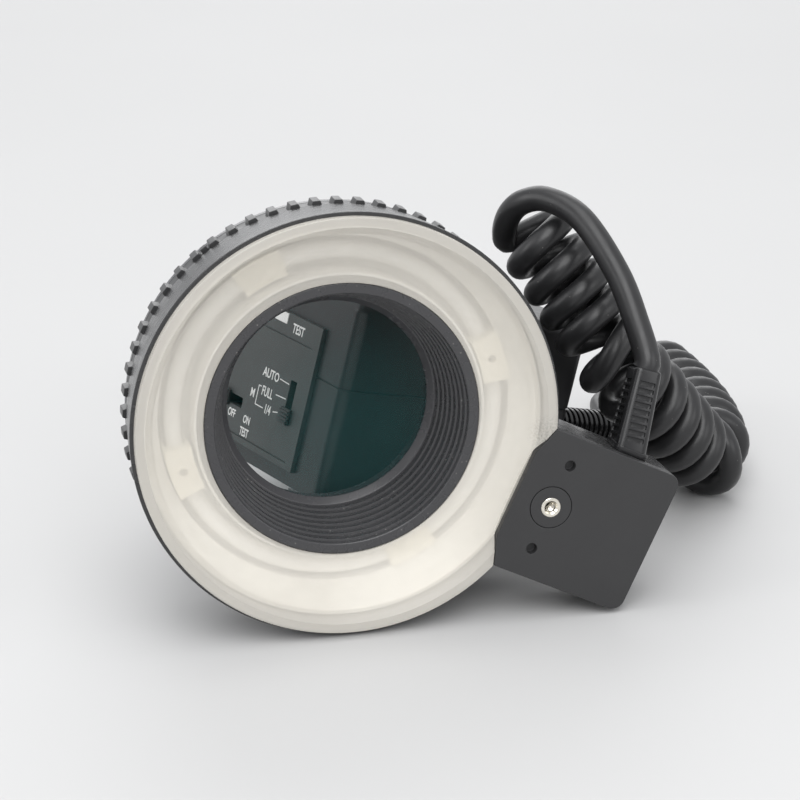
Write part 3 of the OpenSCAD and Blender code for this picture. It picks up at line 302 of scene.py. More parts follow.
class Graph:
    """Node tree of one material, with its shader and its object coordinates."""

    CLOUDY = (0.3, 0.7)

    def __init__(self, name: str) -> None:
        """Start an empty material.

        Args:
            name: Name of the material.
        """
        self.material = bpy.data.materials.new(name)
        self.material.use_nodes = True
        self.tree = self.material.node_tree
        self.tree.nodes.clear()
        self.shader = self.add("ShaderNodeBsdfPrincipled")
        output = self.add("ShaderNodeOutputMaterial")
        self.link(self.shader.outputs["BSDF"], output.inputs["Surface"])
        self.place = self.add("ShaderNodeTexCoord").outputs["Object"]

    def add(self, kind: str) -> bpy.types.Node:
        """Add one node."""
        return self.tree.nodes.new(kind)

    def link(self, source: Socket, target: Socket) -> None:
        """Join two sockets."""
        self.tree.links.new(source, target)

    def set(self, **values: float) -> None:
        """Set sockets of the shader by name, with underscores for spaces."""
        for key, value in values.items():
            self.shader.inputs[key.replace("_", " ")].default_value = value

    def noise(self, size: float, detail: float = 3.0, stretch: Colour = (1.0, 1.0, 1.0)) -> Socket:
        """Cloudy pattern on object coordinates.

        Args:
            size: Size of a cloud in metres.
            detail: Number of finer layers.
            stretch: Scale of the pattern along each axis.

        Returns:
            The pattern's value socket.
        """
        mapping = self.add("ShaderNodeMapping")
        mapping.inputs["Scale"].default_value = stretch
        self.link(self.place, mapping.inputs["Vector"])
        node = self.add("ShaderNodeTexNoise")
        node.inputs["Scale"].default_value = 1.0 / size
        node.inputs["Detail"].default_value = detail
        self.link(mapping.outputs["Vector"], node.inputs["Vector"])
        return node.outputs["Fac"]

    def clouds(self, size: float, detail: float) -> Socket:
        """Cloudy mask from 0 to 1, with clouds of a size in metres."""
        return self.range(self.noise(size, detail), *self.CLOUDY, 0.0, 1.0)

    def specks(self, size: float, share: float) -> Socket:
        """Mask of small round specks.

        Args:
            size: Distance between specks in metres.
            share: Radius of a speck as a share of that distance.

        Returns:
            A mask that is 1 on the specks and 0 elsewhere.
        """
        node = self.add("ShaderNodeTexVoronoi")
        node.inputs["Scale"].default_value = 1.0 / size
        self.link(self.place, node.inputs["Vector"])
        return self.range(node.outputs["Distance"], share, share * 0.6, 0.0, 1.0)

    def near(self, point: Vector, reach: float) -> Socket:
        """Mask that fades out round a point.

        Args:
            point: Middle of the mask in the row frame.
            reach: Radius at which the mask ends, in metres.

        Returns:
            A mask that is 1 at the point and 0 past its reach.
        """
        node = self.add("ShaderNodeVectorMath")
        node.operation = "DISTANCE"
        node.inputs[1].default_value = point
        self.link(self.place, node.inputs[0])
        return self.range(node.outputs["Value"], reach, reach * 0.25, 0.0, 1.0)

    def range(self, value: Socket, low: float, high: float, to_low: float, to_high: float) -> Socket:
        """Map a value from one range to another.

        Args:
            value: Socket to read.
            low: Value that becomes to_low.
            high: Value that becomes to_high.
            to_low: Result at low.
            to_high: Result at high.

        Returns:
            The mapped value socket.
        """
        node = self.add("ShaderNodeMapRange")
        for key, number in zip(("From Min", "From Max", "To Min", "To Max"), (low, high, to_low, to_high)):
            node.inputs[key].default_value = number
        self.link(value, node.inputs["Value"])
        return node.outputs["Result"]

    def times(self, first: Socket, second: Socket) -> Socket:
        """Product of two masks.

        Args:
            first: One mask.
            second: The other mask.

        Returns:
            The product's value socket.
        """
        node = self.add("ShaderNodeMath")
        node.operation = "MULTIPLY"
        self.link(first, node.inputs[0])
        self.link(second, node.inputs[1])
        return node.outputs["Value"]

    def mix(self, mask: Socket, first: Colour | Socket, second: Colour | Socket) -> Socket:
        """Blend two colours by a mask.

        Args:
            mask: 0 gives the first colour, 1 the second.
            first: A colour, or a socket that gives one.
            second: A colour, or a socket that gives one.

        Returns:
            The blended colour socket.
        """
        node = self.add("ShaderNodeMix")
        node.data_type = "RGBA"
        self.link(mask, node.inputs["Factor"])
        for socket, value in ((node.inputs[6], first), (node.inputs[7], second)):
            if isinstance(value, Socket):
                self.link(value, socket)
            else:
                socket.default_value = (*value, 1.0)
        return node.outputs[2]

    def tone(self, mask: Socket, colour: Colour, dark: float, light: float) -> Socket:
        """Colour that goes from a darker to a lighter shade by a mask."""
        return self.mix(mask, shade(colour, dark), shade(colour, light))

    def colour(self, socket: Socket) -> None:
        """Use a colour socket as the base colour."""
        self.link(socket, self.shader.inputs["Base Color"])

    def gloss(self, pattern: Socket, low: float, high: float) -> None:
        """Let the roughness follow a pattern between two values."""
        self.link(self.range(pattern, *self.CLOUDY, low, high), self.shader.inputs["Roughness"])

    def bump(self, height: Socket, depth: float, strength: float = 0.6) -> None:
        """Use a value socket as surface relief.

        Args:
            height: Socket that gives the height from 0 to 1.
            depth: Depth of the relief in metres.
            strength: Share of the relief that shows.
        """
        node = self.add("ShaderNodeBump")
        node.inputs["Strength"].default_value = strength
        node.inputs["Distance"].default_value = depth
        self.link(height, node.inputs["Height"])
        self.link(node.outputs["Normal"], self.shader.inputs["Normal"])


def shade(colour: Colour, by: float) -> Colour:
    """Scale a colour."""
    return tuple(min(1.0, part * by) for part in colour)


class Finish:
    """A surface, which each kind paints in its own way."""

    def build(self, name: str) -> bpy.types.Material:
        """Make the material.

        Args:
            name: Name of the material.

        Returns:
            The finished material.
        """
        graph = Graph(name)
        self.paint(graph)
        return graph.material

    def paint(self, graph: Graph) -> None:
        """Set up the nodes of the finish."""
        raise NotImplementedError


@dataclass(frozen=True)
class Moulded(Finish):
    """Moulded plastic, rubber or paint with a fine grain, a cloudy tone and a little dust."""

    colour: Colour
    roughness: float
    relief: Relief
    cloud: float = 0.12
    dust: float = 0.0

    def paint(self, graph: Graph) -> None:
        """Set up the nodes of the finish.

        Args:
            graph: Node tree of the material.
        """
        size, depth = self.relief.value
        tone = graph.tone(graph.clouds(0.012, 4.0), self.colour, 1.0 - self.cloud, 1.0 + self.cloud)
        if self.dust:
            patches = graph.range(graph.noise(0.006, 2.0), 0.5, 0.62, 0.0, self.dust)
            tone = graph.mix(graph.times(graph.specks(0.0014, 0.16), patches), tone, DUST)
        graph.colour(tone)
        graph.gloss(graph.noise(0.004), self.roughness * 0.85, self.roughness * 1.15)
        graph.bump(graph.noise(size, 2.0), depth)


@dataclass(frozen=True)
class Metal(Finish):
    """Turned or rolled metal with fine tool marks and a slightly tarnished tone."""

    colour: Colour
    roughness: float
    marks: Place = (1.0, 1.0, 6.0)
    marks_depth: float = 6e-6
    metallic: float = 1.0

    def paint(self, graph: Graph) -> None:
        """Set up the nodes of the finish.

        Args:
            graph: Node tree of the material.
        """
        graph.colour(graph.tone(graph.clouds(0.003, 4.0), self.colour, 0.82, 1.0))
        marks = graph.noise(0.0006, stretch=self.marks)
        graph.gloss(marks, self.roughness * 0.7, self.roughness * 1.3)
        graph.bump(marks, self.marks_depth)
        graph.set(Metallic=self.metallic)


@dataclass(frozen=True)
class Clear(Finish):
    """Thin clear glass: a tinted skin over a see-through body, turning more opaque teal round one point as painted
    shade.
    """

    colour: Colour
    veil: float
    painted_shade: Vector | None = None
    painted_shade_reach: float = 0.034
    painted_shade_veil: float = 0.2

    def paint(self, graph: Graph) -> None:
        """Set up the nodes of the finish.

        Args:
            graph: Node tree of the material.
        """
        graph.colour(graph.tone(graph.clouds(0.02, 2.0), self.colour, 0.85, 1.0))
        graph.set(Alpha=self.veil, Roughness=0.04, Specular_IOR_Level=0.3, Specular_Tint=(*self.colour, 1.0))
        # Painted shade: round this point the alpha rises, so the glass shows a dark teal patch.
        if self.painted_shade is not None:
            side = graph.near(self.painted_shade, self.painted_shade_reach)
            graph.link(graph.range(side, 0.0, 1.0, self.veil, self.painted_shade_veil), graph.shader.inputs["Alpha"])


@dataclass(frozen=True)
class Frosted(Finish):
    """Milky clear plastic whose inside shimmers through, rubbed dull beside the junction box."""

    colour: Colour
    roughness: float
    veil: float
    rubbed: Vector
    rubbed_reach: float = 0.006

    def paint(self, graph: Graph) -> None:
        """Set up the nodes of the finish.

        Args:
            graph: Node tree of the material.
        """
        tone = graph.tone(graph.clouds(0.018, 3.0), self.colour, 0.97, 1.02)
        grit = graph.range(graph.noise(0.0005, 2.0), 0.4, 0.65, 0.0, 0.45)
        # Middle of the glass's painted teal shade
        graph.colour(graph.mix(graph.times(graph.near(self.rubbed, self.rubbed_reach), grit), tone, RUBBED))
        graph.gloss(graph.noise(0.002), self.roughness * 0.8, self.roughness * 1.2)
        graph.bump(graph.noise(0.0006, 2.0), 1.5e-6)
        graph.set(Alpha=self.veil)


@dataclass(frozen=True)
class Jacket(Finish):
    """Soft cord jacket with fine flow lines and a satin skin."""

    colour: Colour
    roughness: float

    def paint(self, graph: Graph) -> None:
        """Set up the nodes of the finish.

        Args:
            graph: Node tree of the material.
        """
        tone = graph.tone(graph.clouds(0.009, 4.0), self.colour, 0.86, 1.12)
        lint = graph.range(graph.noise(0.004, 2.0), 0.54, 0.64, 0.0, 0.3)
        graph.colour(graph.mix(graph.times(graph.specks(0.0016, 0.1), lint), tone, LINT))
        graph.gloss(graph.noise(0.003), self.roughness * 0.85, self.roughness * 1.2)
        graph.bump(graph.noise(0.0005), 1.5e-5)
        graph.set(Specular_IOR_Level=0.45)


# Places of the sub-assemblies


class Layout:
    """Frames of the head, its box and the pack, read from the record's joints and mounts."""

    COLLAR_DEPTH = 21.0
    FOOT = Vector((0.0, 30.6, -11.0))
    BOX_ANGLE = math.radians(-26.0)

    def __init__(self) -> None:
        """Read the joints and mounts, and set up the frames in millimetres."""
        joints = {joint["name"]: joint for joint in frame["joints"]}
        mounts = {mount["name"]: mount for mount in frame["record"]["mounts"]}
        front = Vector(joints["collar_turn"]["axis"]).normalized()
        centre = Vector(joints["collar_turn"]["pos_m"]) + self.COLLAR_DEPTH * MM * front
        reach = Vector(mounts["accessory_insert"]["pos_m"]) - centre
        outward = (reach - reach.dot(front) * front).normalized()
        self.box = self.frame(outward, front.cross(outward), front, centre)
        self.head = self.box @ Matrix.Rotation(-self.BOX_ANGLE, 4, "Z")
        across = Vector(joints["power_switch_slide"]["axis"]).normalized()
        up = Vector(joints["mode_switch_slide"]["axis"]).normalized()
        back = up.cross(across)
        foot = Vector(mounts["shoe_foot"]["pos_m"])
        turn = Matrix((across, back, up)).transposed()
        self.pack = self.frame(across, back, up, foot - turn @ self.FOOT * MM)

    @staticmethod
    def frame(x: Vector, y: Vector, z: Vector, origin: Vector) -> Matrix:
        """Matrix from local millimetres to the row frame in metres.

        Args:
            x: Local X axis.
            y: Local Y axis.
            z: Local Z axis.
            origin: Local origin in metres.

        Returns:
            The matrix of the frame.
        """
        turn = Matrix((x, y, z)).transposed().to_4x4()
        return Matrix.Translation(origin) @ turn @ Matrix.Scale(MM, 4)


def body_of(node: str) -> str:
    """Name of the body that holds a solid."""
    return next(body for body, nodes in frame["record"]["behaviour"]["bodies"].items() if node in nodes)


def slot_of(node: str) -> str:
    """Name of a solid's material slot."""
    return next(part["material_slot"] for part in frame["record"]["subparts"] if part["node"] == node)


@dataclass
class Kit:
    """Frames and finishes that the sub-assemblies share."""

    layout: Layout
    finishes: Finishes

    def settle(self, obj: Piece, slot: str, nodes: Sequence[str] = (), place: Matrix | None = None,
               body: str = Body.MAIN.value) -> None:
        """Put a finished piece in its place and give it its finish, nodes and body.

        Args:
            obj: The finished piece.
            slot: Name of the material slot that it takes its finish from.
            nodes: Solids of the frame that it stands for.
            place: Matrix from the piece's units to the row frame, or None where it is there already.
            body: Name of the body that it rides on.
        """
        if place is not None:
            obj.data.transform(place)
        obj.data.materials.clear()
        obj.data.materials.append(self.finishes[slot])
        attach(obj, body)
        if nodes:
            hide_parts(*nodes)
        LOG.info("%s rides on %s", obj.name, body)

    def dress_copies(self, widths: dict[str, float]) -> None:
        """Replace solids by copies with rounded edges.

        Args:
            widths: Width of the rounding by solid in millimetres, or 0 where its own edges stay.
        """
        for node, width in widths.items():
            self.settle(copied(node, width * MM), slot_of(node), [node], body=body_of(node))

    def dress_solids(self) -> None:
        """Give the frame's own solids the finish of their slot."""
        for node, obj in frame["nodes"].items():
            obj.data.materials.clear()
            obj.data.materials.append(self.finishes[slot_of(node)])


# Sub-assemblies


@dataclass
class CurlyCord:
    """Curly cord from the junction box to the pack, with its arched lead and its tail on the floor."""

    diameter: float = 6.6
    curl_r: float = 8.6
    curl_start: float = math.radians(90.0)
    curl_gap: float = 0.9
    curl_loose: float = 0.15
    loose_run: float = 20.0
    floor_gap: float = 0.25
    stub: float = 2.5
    per_turn: int = 28
    bend_reach: int = 6
    rings: int = 8
    ring_share: float = 1.4
    route_steps: int = 6
    lead_steps: int = 12
    lead_step: float = 1.5
    round_steps: int = 8
    layout_mid: Place = (12.4, 61.4, 0.0)

    def curl_route(self) -> list[Vector]:
        """Middle line of the curls, from the ring's centre on the floor.

        Returns:
            Points of the line in millimetres.
        """
        low = self.curl_r + self.diameter / 2 + self.floor_gap
        return [Vector(point) for point in (
            (46.6, 72.6, 82.6), (49.8, 70.9, 78.2), (53.8, 68.7, 72.3), (59, 66.2, 64.7), (63.5, 63.7, 57.9),
            (67.8, 61.2, 51.5), (73.3, 62.6, 43.5), (79.8, 67.4, 34.1), (86.3, 73.7, 24.9),
            (91.5, 80, low + 5), (95.3, 85, low + 0.8), (97.6, 92.5, low), (98, 101, low), (97.5, 111, low),
            (96, 123, low), (93.5, 135, low), (90.5, 146, low), (88, 154, low),
        )]

    def lead_route(self) -> list[Vector]:
        """Points of the lead between the box and the curls.

        Returns:
            The points in millimetres, from the ring's centre on the floor.
        """
        return [Vector(point) for point in (
            (71.5, 37, 68), (67, 46, 78.5), (58.5, 57, 89.5), (50, 64, 92.8), (43.8, 68, 91),
            (40.4, 72, 86.3), (39.4, 76, 80.4),
        )]

    def tail_route(self) -> list[Vector]:
        """Points of the tail between the curls and the pack.

        Returns:
            The points in millimetres, from the ring's centre on the floor.
        """
        low = self.diameter / 2 + self.floor_gap
        return [Vector(point) for point in (
            (76, 155, low), (72.5, 151.5, low), (72.5, 145, low), (74, 136, low + 0.5), (77, 127, low + 1.5),
            (79, 118.5, low + 4.5), (78.5, 111, low + 8),
        )]

    @staticmethod
    def spline(points: Sequence[Vector], per: int) -> list[Vector]:
        """Smooth line through points.

        Args:
            points: Points that the line passes.
            per: Number of steps between two points.

        Returns:
            The points of the smooth line.
        """
        line, last = [], len(points) - 1
        for i in range(last):
            p0, p1, p2, p3 = points[max(i - 1, 0)], points[i], points[i + 1], points[min(i + 2, last)]
            for k in range(per):
                t = k / per
                line.append(0.5 * (2 * p1 + (p2 - p0) * t + (2 * p0 - 5 * p1 + 4 * p2 - p3) * t ** 2
                                   + (3 * p1 - p0 - 3 * p2 + p3) * t ** 3))
        return line + [points[last].copy()]

    @staticmethod
    def lengths(line: Sequence[Vector]) -> list[float]:
        """Running length of a line at each of its points.

        Args:
            line: Points of the line.

        Returns:
            The length from the start to each point.
        """
        run = [0.0]
        for a, b in zip(line, line[1:]):
            run.append(run[-1] + (b - a).length)
        return run

    @classmethod
    def even(cls, line: Sequence[Vector], step: float) -> list[Vector]:
        """Spread points evenly along a line.

        Args:
            line: Points of the line.
            step: Largest distance between two points.

        Returns:
            The evenly spread points.
        """
        run = cls.lengths(line)
        count = max(2, math.ceil(run[-1] / step))
        out, i = [], 1
        for k in range(count):
            s = run[-1] * k / count
            while i < len(line) - 1 and run[i] < s:
                i += 1
            out.append(line[i - 1].lerp(line[i], (s - run[i - 1]) / (run[i] - run[i - 1])))
        return out + [line[-1].copy()]

    def curls(self) -> list[Vector]:
        """Points of the curls, by the formula of the part's source.

        Returns:
            The points in millimetres, from the ring's centre on the floor.
        """
        pitch = self.diameter + self.curl_gap
        route = self.spline(self.curl_route(), self.route_steps)
        line = self.even(route, pitch / self.rings / self.ring_share)
        last = len(line) - 1
        tangents = [(line[min(i + 1, last)] - line[max(i - 1, 0)]).normalized() for i in range(last + 1)]
        side, sides = Vector((-1.0, 0.0, 0.0)), []
        for tangent in tangents:
            side = (side - side.dot(tangent) * tangent).normalized()
            sides.append(side)
        run, phase = self.lengths(line), [0.0]
        for i in range(1, last + 1):
            a, b = max(0, i - self.bend_reach), min(last, i + self.bend_reach)
            bend = (tangents[b] - tangents[a]).length / (line[b] - line[a]).length
            loose = 1 + self.curl_loose * max(0.0, 1 - run[i] / self.loose_run)
            step = (line[i] - line[i - 1]).length
            phase.append(phase[-1] + math.tau * step * (1 - self.curl_r * bend) / (pitch * loose))
        low = math.atan2(-tangents[last].cross(sides[last]).z, -sides[last].z) - self.curl_start
        end = low + math.tau * math.floor((phase[last] - low) / math.tau)
        count = round(end / math.tau * self.per_turn)
        points, i = [], 1
        for k in range(count + 1):
            angle = end * k / count
            while i < last and phase[i] < angle:
                i += 1
            f = (angle - phase[i - 1]) / (phase[i] - phase[i - 1])
            tangent = tangents[i - 1].lerp(tangents[i], f).normalized()
            side = sides[i - 1].lerp(sides[i], f)
            side = (side - side.dot(tangent) * tangent).normalized()
            turn = angle + self.curl_start
            spoke = math.cos(turn) * side + math.sin(turn) * tangent.cross(side)
            points.append(line[i - 1].lerp(line[i], f) + self.curl_r * spoke)
        return points

    def path(self, start: Vector, start_dir: Vector, end: Vector, end_dir: Vector) -> list[Vector]:
        """Whole centre line of the cord, in metres in the row frame.

        Args:
            start: Tip of the head's strain relief in metres.
            start_dir: Direction in which the cord leaves it.
            end: Tip of the pack's strain relief in metres.
            end_dir: Direction out of the pack.

        Returns:
            The points of the centre line.
        """
        mid = Vector(self.layout_mid)
        curls = self.curls()
        first = (curls[1] - curls[0]).normalized()
        final = (curls[-1] - curls[-2]).normalized()
        head = [start / MM + mid, start / MM + mid + self.stub * start_dir, *self.lead_route(),
                curls[0] - self.diameter * first]
        tail = [curls[-1] + self.diameter * final, *self.tail_route(),
                end / MM + mid + self.stub * end_dir, end / MM + mid]
        lead = self.even(self.spline(head + [curls[0]], self.lead_steps), self.lead_step)
        rest = self.even(self.spline([curls[-1]] + tail, self.lead_steps), self.lead_step)
        for point in rest:
            point.z = max(point.z, self.diameter / 2 + self.floor_gap)
        return [(point - mid) * MM for point in lead[:-1] + curls + rest[1:]]

    def build(self, kit: Kit, box: "JunctionBox", pack: "PowerPack") -> None:
        """Make the cord as one swept curve.

        Args:
            kit: Frames and finishes.
            box: Junction box that the cord leaves.
            pack: Pack that it goes into.
        """
        start, start_dir = box.cord_exit(kit.layout)
        end, end_dir = pack.cord_exit(kit.layout)
        path = self.path(start, start_dir, end, end_dir)
        data = bpy.data.curves.new("curly_cord", "CURVE")
        data.dimensions = "3D"
        data.bevel_depth = self.diameter / 2 * MM
        data.bevel_resolution = self.round_steps
        data.use_fill_caps = True
        line = data.splines.new("POLY")
        line.points.add(len(path) - 1)
        for spot, point in zip(line.points, path):
            spot.co = (*point, 1.0)
        cord = bpy.data.objects.new("curly_cord", data)
        bpy.context.scene.collection.objects.link(cord)
        kit.settle(cord, "cord_jacket", ["cord_lead", "cord_curls", "cord_tail"])


@dataclass
class RingHead:
    """Ring head: frosted cover, housing, baffle, glass and the reflector with its tubes."""

    cover_r: float = 52.0
    cover_proud: float = 2.5
    cover_wall: float = 1.8
    cover_edge: float = 0.35
    lip_in: float = 49.6
    opening_r: float = 34.3
    dish_depth: float = 8.4
    dish_power: float = 1.5
    skirt_r: float = 49.1
    skirt_depth: float = 6.0
    baffle_r: float = 32.2
    baffle_lip: float = 2.6
    lip_round: float = 0.45
    lip_bevel: float = 0.15
    baffle_steps: int = 7
    baffle_rear_r: float = 27.4
    baffle_end: float = 25.4
    clear_r: float = 25.5
    glass_depth: float = 27.4
    glass_t: float = 2.0
    glass_edge: float = 0.2
    mouth: float = 0.4
    dish_points: int = 36
    liner_r: float = 49.3
    liner_foot_r: float = 47.5
    liner_t: float = 0.25
    shelf: float = 17.4

    def dish(self, r: float) -> float:
        """Height of the cover's dished face at a radius."""
        t = (r - self.opening_r) / (self.lip_in - self.opening_r)
        return -self.dish_depth * (1 - max(t, 0.0) ** self.dish_power)

    def cover(self, box: "JunctionBox") -> Piece:
        """Turn the cover and cut it out round the junction box.

        Args:
            box: Junction box that the cover makes room for.

        Returns:
            The cover in the head's millimetres.
        """
        span = self.opening_r - self.lip_in
        radii = [self.lip_in + span * i / self.dish_points for i in range(self.dish_points + 1)]
        skirt_in, edge = self.skirt_r - self.cover_wall, self.cover_edge
        profile = [(self.cover_r, -self.cover_proud), (self.cover_r, -edge),
                   (self.cover_r - edge * 0.3, -edge * 0.3), (self.cover_r - edge, 0.0)]
        profile += [(r, self.dish(r)) for r in radii]
        profile += [(r, self.dish(r) - self.cover_wall) for r in reversed(radii) if r < skirt_in]
        profile += [(skirt_in, self.dish(skirt_in) - self.cover_wall), (skirt_in, -self.skirt_depth),
                    (self.skirt_r, -self.skirt_depth), (self.skirt_r, -self.cover_proud)]
        cover = turned("frosted_front_cover", profile, 240)
        tool = prism("box_room", box.outline(box.side_gap), -self.dish_depth - 3.0, 2.0)
        tool.data.transform(Matrix.Rotation(Layout.BOX_ANGLE, 4, "Z"))
        cut(cover, tool)
        return finished(cover, 0.15, 50.0, 30.0)

    def baffle(self) -> Piece:
        """Turn the stepped baffle with rounded ridges.

        Returns:
            The baffle in the head's millimetres.
        """
        front_r, seat = self.opening_r - 0.1, self.dish_depth + self.cover_wall
        first_r = front_r - self.baffle_lip
        drop = (first_r - self.baffle_rear_r) / self.baffle_steps
        run = (self.baffle_end - seat) / self.baffle_steps
        edge, bevel = self.lip_round, self.lip_bevel
        profile = [(front_r - bevel, -self.dish_depth), (front_r, -self.dish_depth - bevel),
                   (front_r, -seat), (self.baffle_r, -seat), (self.baffle_r, -self.baffle_end)]
        for i in range(self.baffle_steps, 0, -1):
            profile += [(first_r - i * drop, -seat - run * i), (first_r - i * drop, -seat - run * (i - 1))]
        profile += [(first_r, -seat)]
        profile += [(first_r + edge * (1 - math.cos(a)), -self.dish_depth - edge * (1 - math.sin(a)))
                    for a in (math.radians(15.0 * k) for k in range(7))]
        return finished(turned("stepped_baffle", profile, 224), 0.2, 40.0)

    def retainer(self) -> Piece:
        """Turn the glass's retaining ring.

        Returns:
            The ring in the head's millimetres.
        """
        return finished(turned("retaining_ring", [
            (self.baffle_r, -self.baffle_end), (self.baffle_r, -self.glass_depth),
            (self.clear_r, -self.glass_depth), (self.clear_r, -self.glass_depth + self.mouth),
            (self.baffle_rear_r - self.mouth, -self.baffle_end),
        ], 224), 0.12, 20.0)

    def liner(self) -> Piece:
        """Turn the bright sheet that lines the housing's side over the reflector's shelf.

        Returns:
            The sheet in the head's millimetres.
        """
        top, foot = -self.skirt_depth - 0.2, -self.shelf + 0.02
        return finished(turned("reflector_liner", [
            (self.liner_r, top), (self.liner_r, foot), (self.liner_foot_r, foot),
            (self.liner_foot_r, foot + self.liner_t), (self.liner_r - self.liner_t, foot + self.liner_t),
            (self.liner_r - self.liner_t, top),
        ], 160), 0.08)

    def glass(self) -> Piece:
        """Turn the protective glass.

        Returns:
            The glass in the head's millimetres.
        """
        r, edge = self.baffle_r - 0.1, self.glass_edge
        front, back = -self.glass_depth, -self.glass_depth - self.glass_t
        return finished(turned("glass_pane", [
            (0.0, front), (r - edge, front), (r, front - edge),
            (r, back + edge), (r - edge, back), (0.0, back),
        ], 160), crease=30.0)

    def build(self, kit: Kit, box: "JunctionBox") -> None:
        """Make and dress the pieces of the head.

        Args:
            kit: Frames and finishes.
            box: Junction box that the cover makes room for.
        """
        head = kit.layout.head
        kit.settle(self.cover(box), "frosted_cover", ["front_cover"], head)
        kit.settle(self.baffle(), "baffle_black", ["inner_baffle"], head)
        kit.settle(self.retainer(), "ring_black", ["glass_retaining_ring"], head)
        kit.settle(self.glass(), "front_glass", ["protective_glass"], head)
        kit.settle(self.liner(), "reflector_metal", place=head)
        kit.dress_copies({"head_housing": 0.35, "tube_end_holders": 0.2, "lamp_shrouds": 0.2})


@dataclass
class MountingCollar:
    """Toothed collar with its release button and the threaded adapter behind it."""

    bore_r: float = 47.05
    root_r: float = 50.6
    tip_r: float = 52.25
    teeth: int = 60
    tooth_w: float = 3.0
    tooth_taper: float = 0.64
    near: float = 20.2
    far: float = 25.0
    skirt_in: float = 48.9
    skirt_end: float = 27.1
    button_angle: float = 126.0
    pocket_w: float = 2.1
    pocket_len: float = 2.5
    pocket_floor: float = 47.95
    ring_r: float = 40.8
    hole_r: float = 35.8
    thread_r: float = 29.0
    thread_in: float = 27.0
    thread_depth: float = 0.35
    thread_turns: int = 4
    front: float = 29.1
    web_front: float = 31.2
    web_back: float = 32.2
    end: float = 34.6

    def outline(self) -> list[Point]:
        """Outline of the collar with its teeth.

        Returns:
            The corners in order, with the gap of the button at angle 0.
        """
        root = math.asin(self.tooth_w / 2 / self.root_r)
        tip = math.asin(self.tooth_w * self.tooth_taper / 2 / self.tip_r)
        spots = []
        for i in range(self.teeth):
            a = math.tau * (i + 0.5) / self.teeth
            spots += [(self.root_r, a - root), (self.tip_r, a - tip), (self.tip_r, a + tip),
                      (self.root_r, a + root)]
        return [(r * math.cos(a), r * math.sin(a)) for r, a in spots]

    def toothed_ring(self) -> Piece:
        """Model the toothed collar with its bore, button pocket and rear skirt.

        Returns:
            The collar in the head's millimetres.
        """
        ring = prism("toothed_collar", self.outline(), -self.far, -self.near)
        rounded(ring, 0.2, 25.0)
        circle = [(self.bore_r * math.cos(a), self.bore_r * math.sin(a))
                  for a in (math.tau * i / 180 for i in range(180))]
        cut(ring, prism("bore", circle, -self.far - 1.0, -self.near + 1.0))
        half, middle = self.pocket_w / 2, -(self.near + self.far) / 2
        corners = [(self.pocket_floor, -half), (self.tip_r + 1.0, -half), (self.tip_r + 1.0, half),
                   (self.pocket_floor, half)]
        cut(ring, prism("pocket", corners, middle - self.pocket_len / 2, middle + self.pocket_len / 2))
        ring.data.transform(Matrix.Rotation(math.radians(self.button_angle), 4, "Z"))
        outer, top = self.root_r - 0.1, -self.far + 0.1
        skirt = turned("collar_skirt", [
            (outer, top), (outer, -self.skirt_end), (self.skirt_in, -self.skirt_end), (self.skirt_in, top),
        ], 180)
        return finished(joined([ring, skirt], "toothed_collar"))

    def adapter(self) -> Piece:
        """Turn the adapter ring with the ridges of its lens thread.

        Returns:
            The ring in the head's millimetres.
        """
        pitch = (self.end - self.web_back) / (self.thread_turns + 1)
        crest = self.thread_r - self.thread_depth
        profile = [(self.ring_r, -self.front), (self.ring_r, -self.web_back), (crest, -self.web_back)]
        for i in range(self.thread_turns):
            z = -self.web_back - pitch * (i + 0.5)
            profile += [(crest, z), (self.thread_r, z - pitch * 0.45), (self.thread_r, z - pitch * 0.55),
                        (crest, z - pitch)]
        profile += [(crest, -self.end), (self.thread_in, -self.end), (self.thread_in, -self.web_front),
                    (self.hole_r, -self.web_front), (self.hole_r, -self.front)]
        return finished(turned("lens_adapter", profile, 160), crease=25.0)

    def build(self, kit: Kit) -> None:
        """Make and dress the pieces of the collar.

        Args:
            kit: Frames and finishes.
        """
        for node, make in (("adapter_ring", self.adapter), ("mounting_collar", self.toothed_ring)):
            kit.settle(make(), slot_of(node), [node], kit.layout.head, Body.COLLAR.value)
        kit.dress_copies({"release_button": 0.22, "adapter_plate": 0.25})


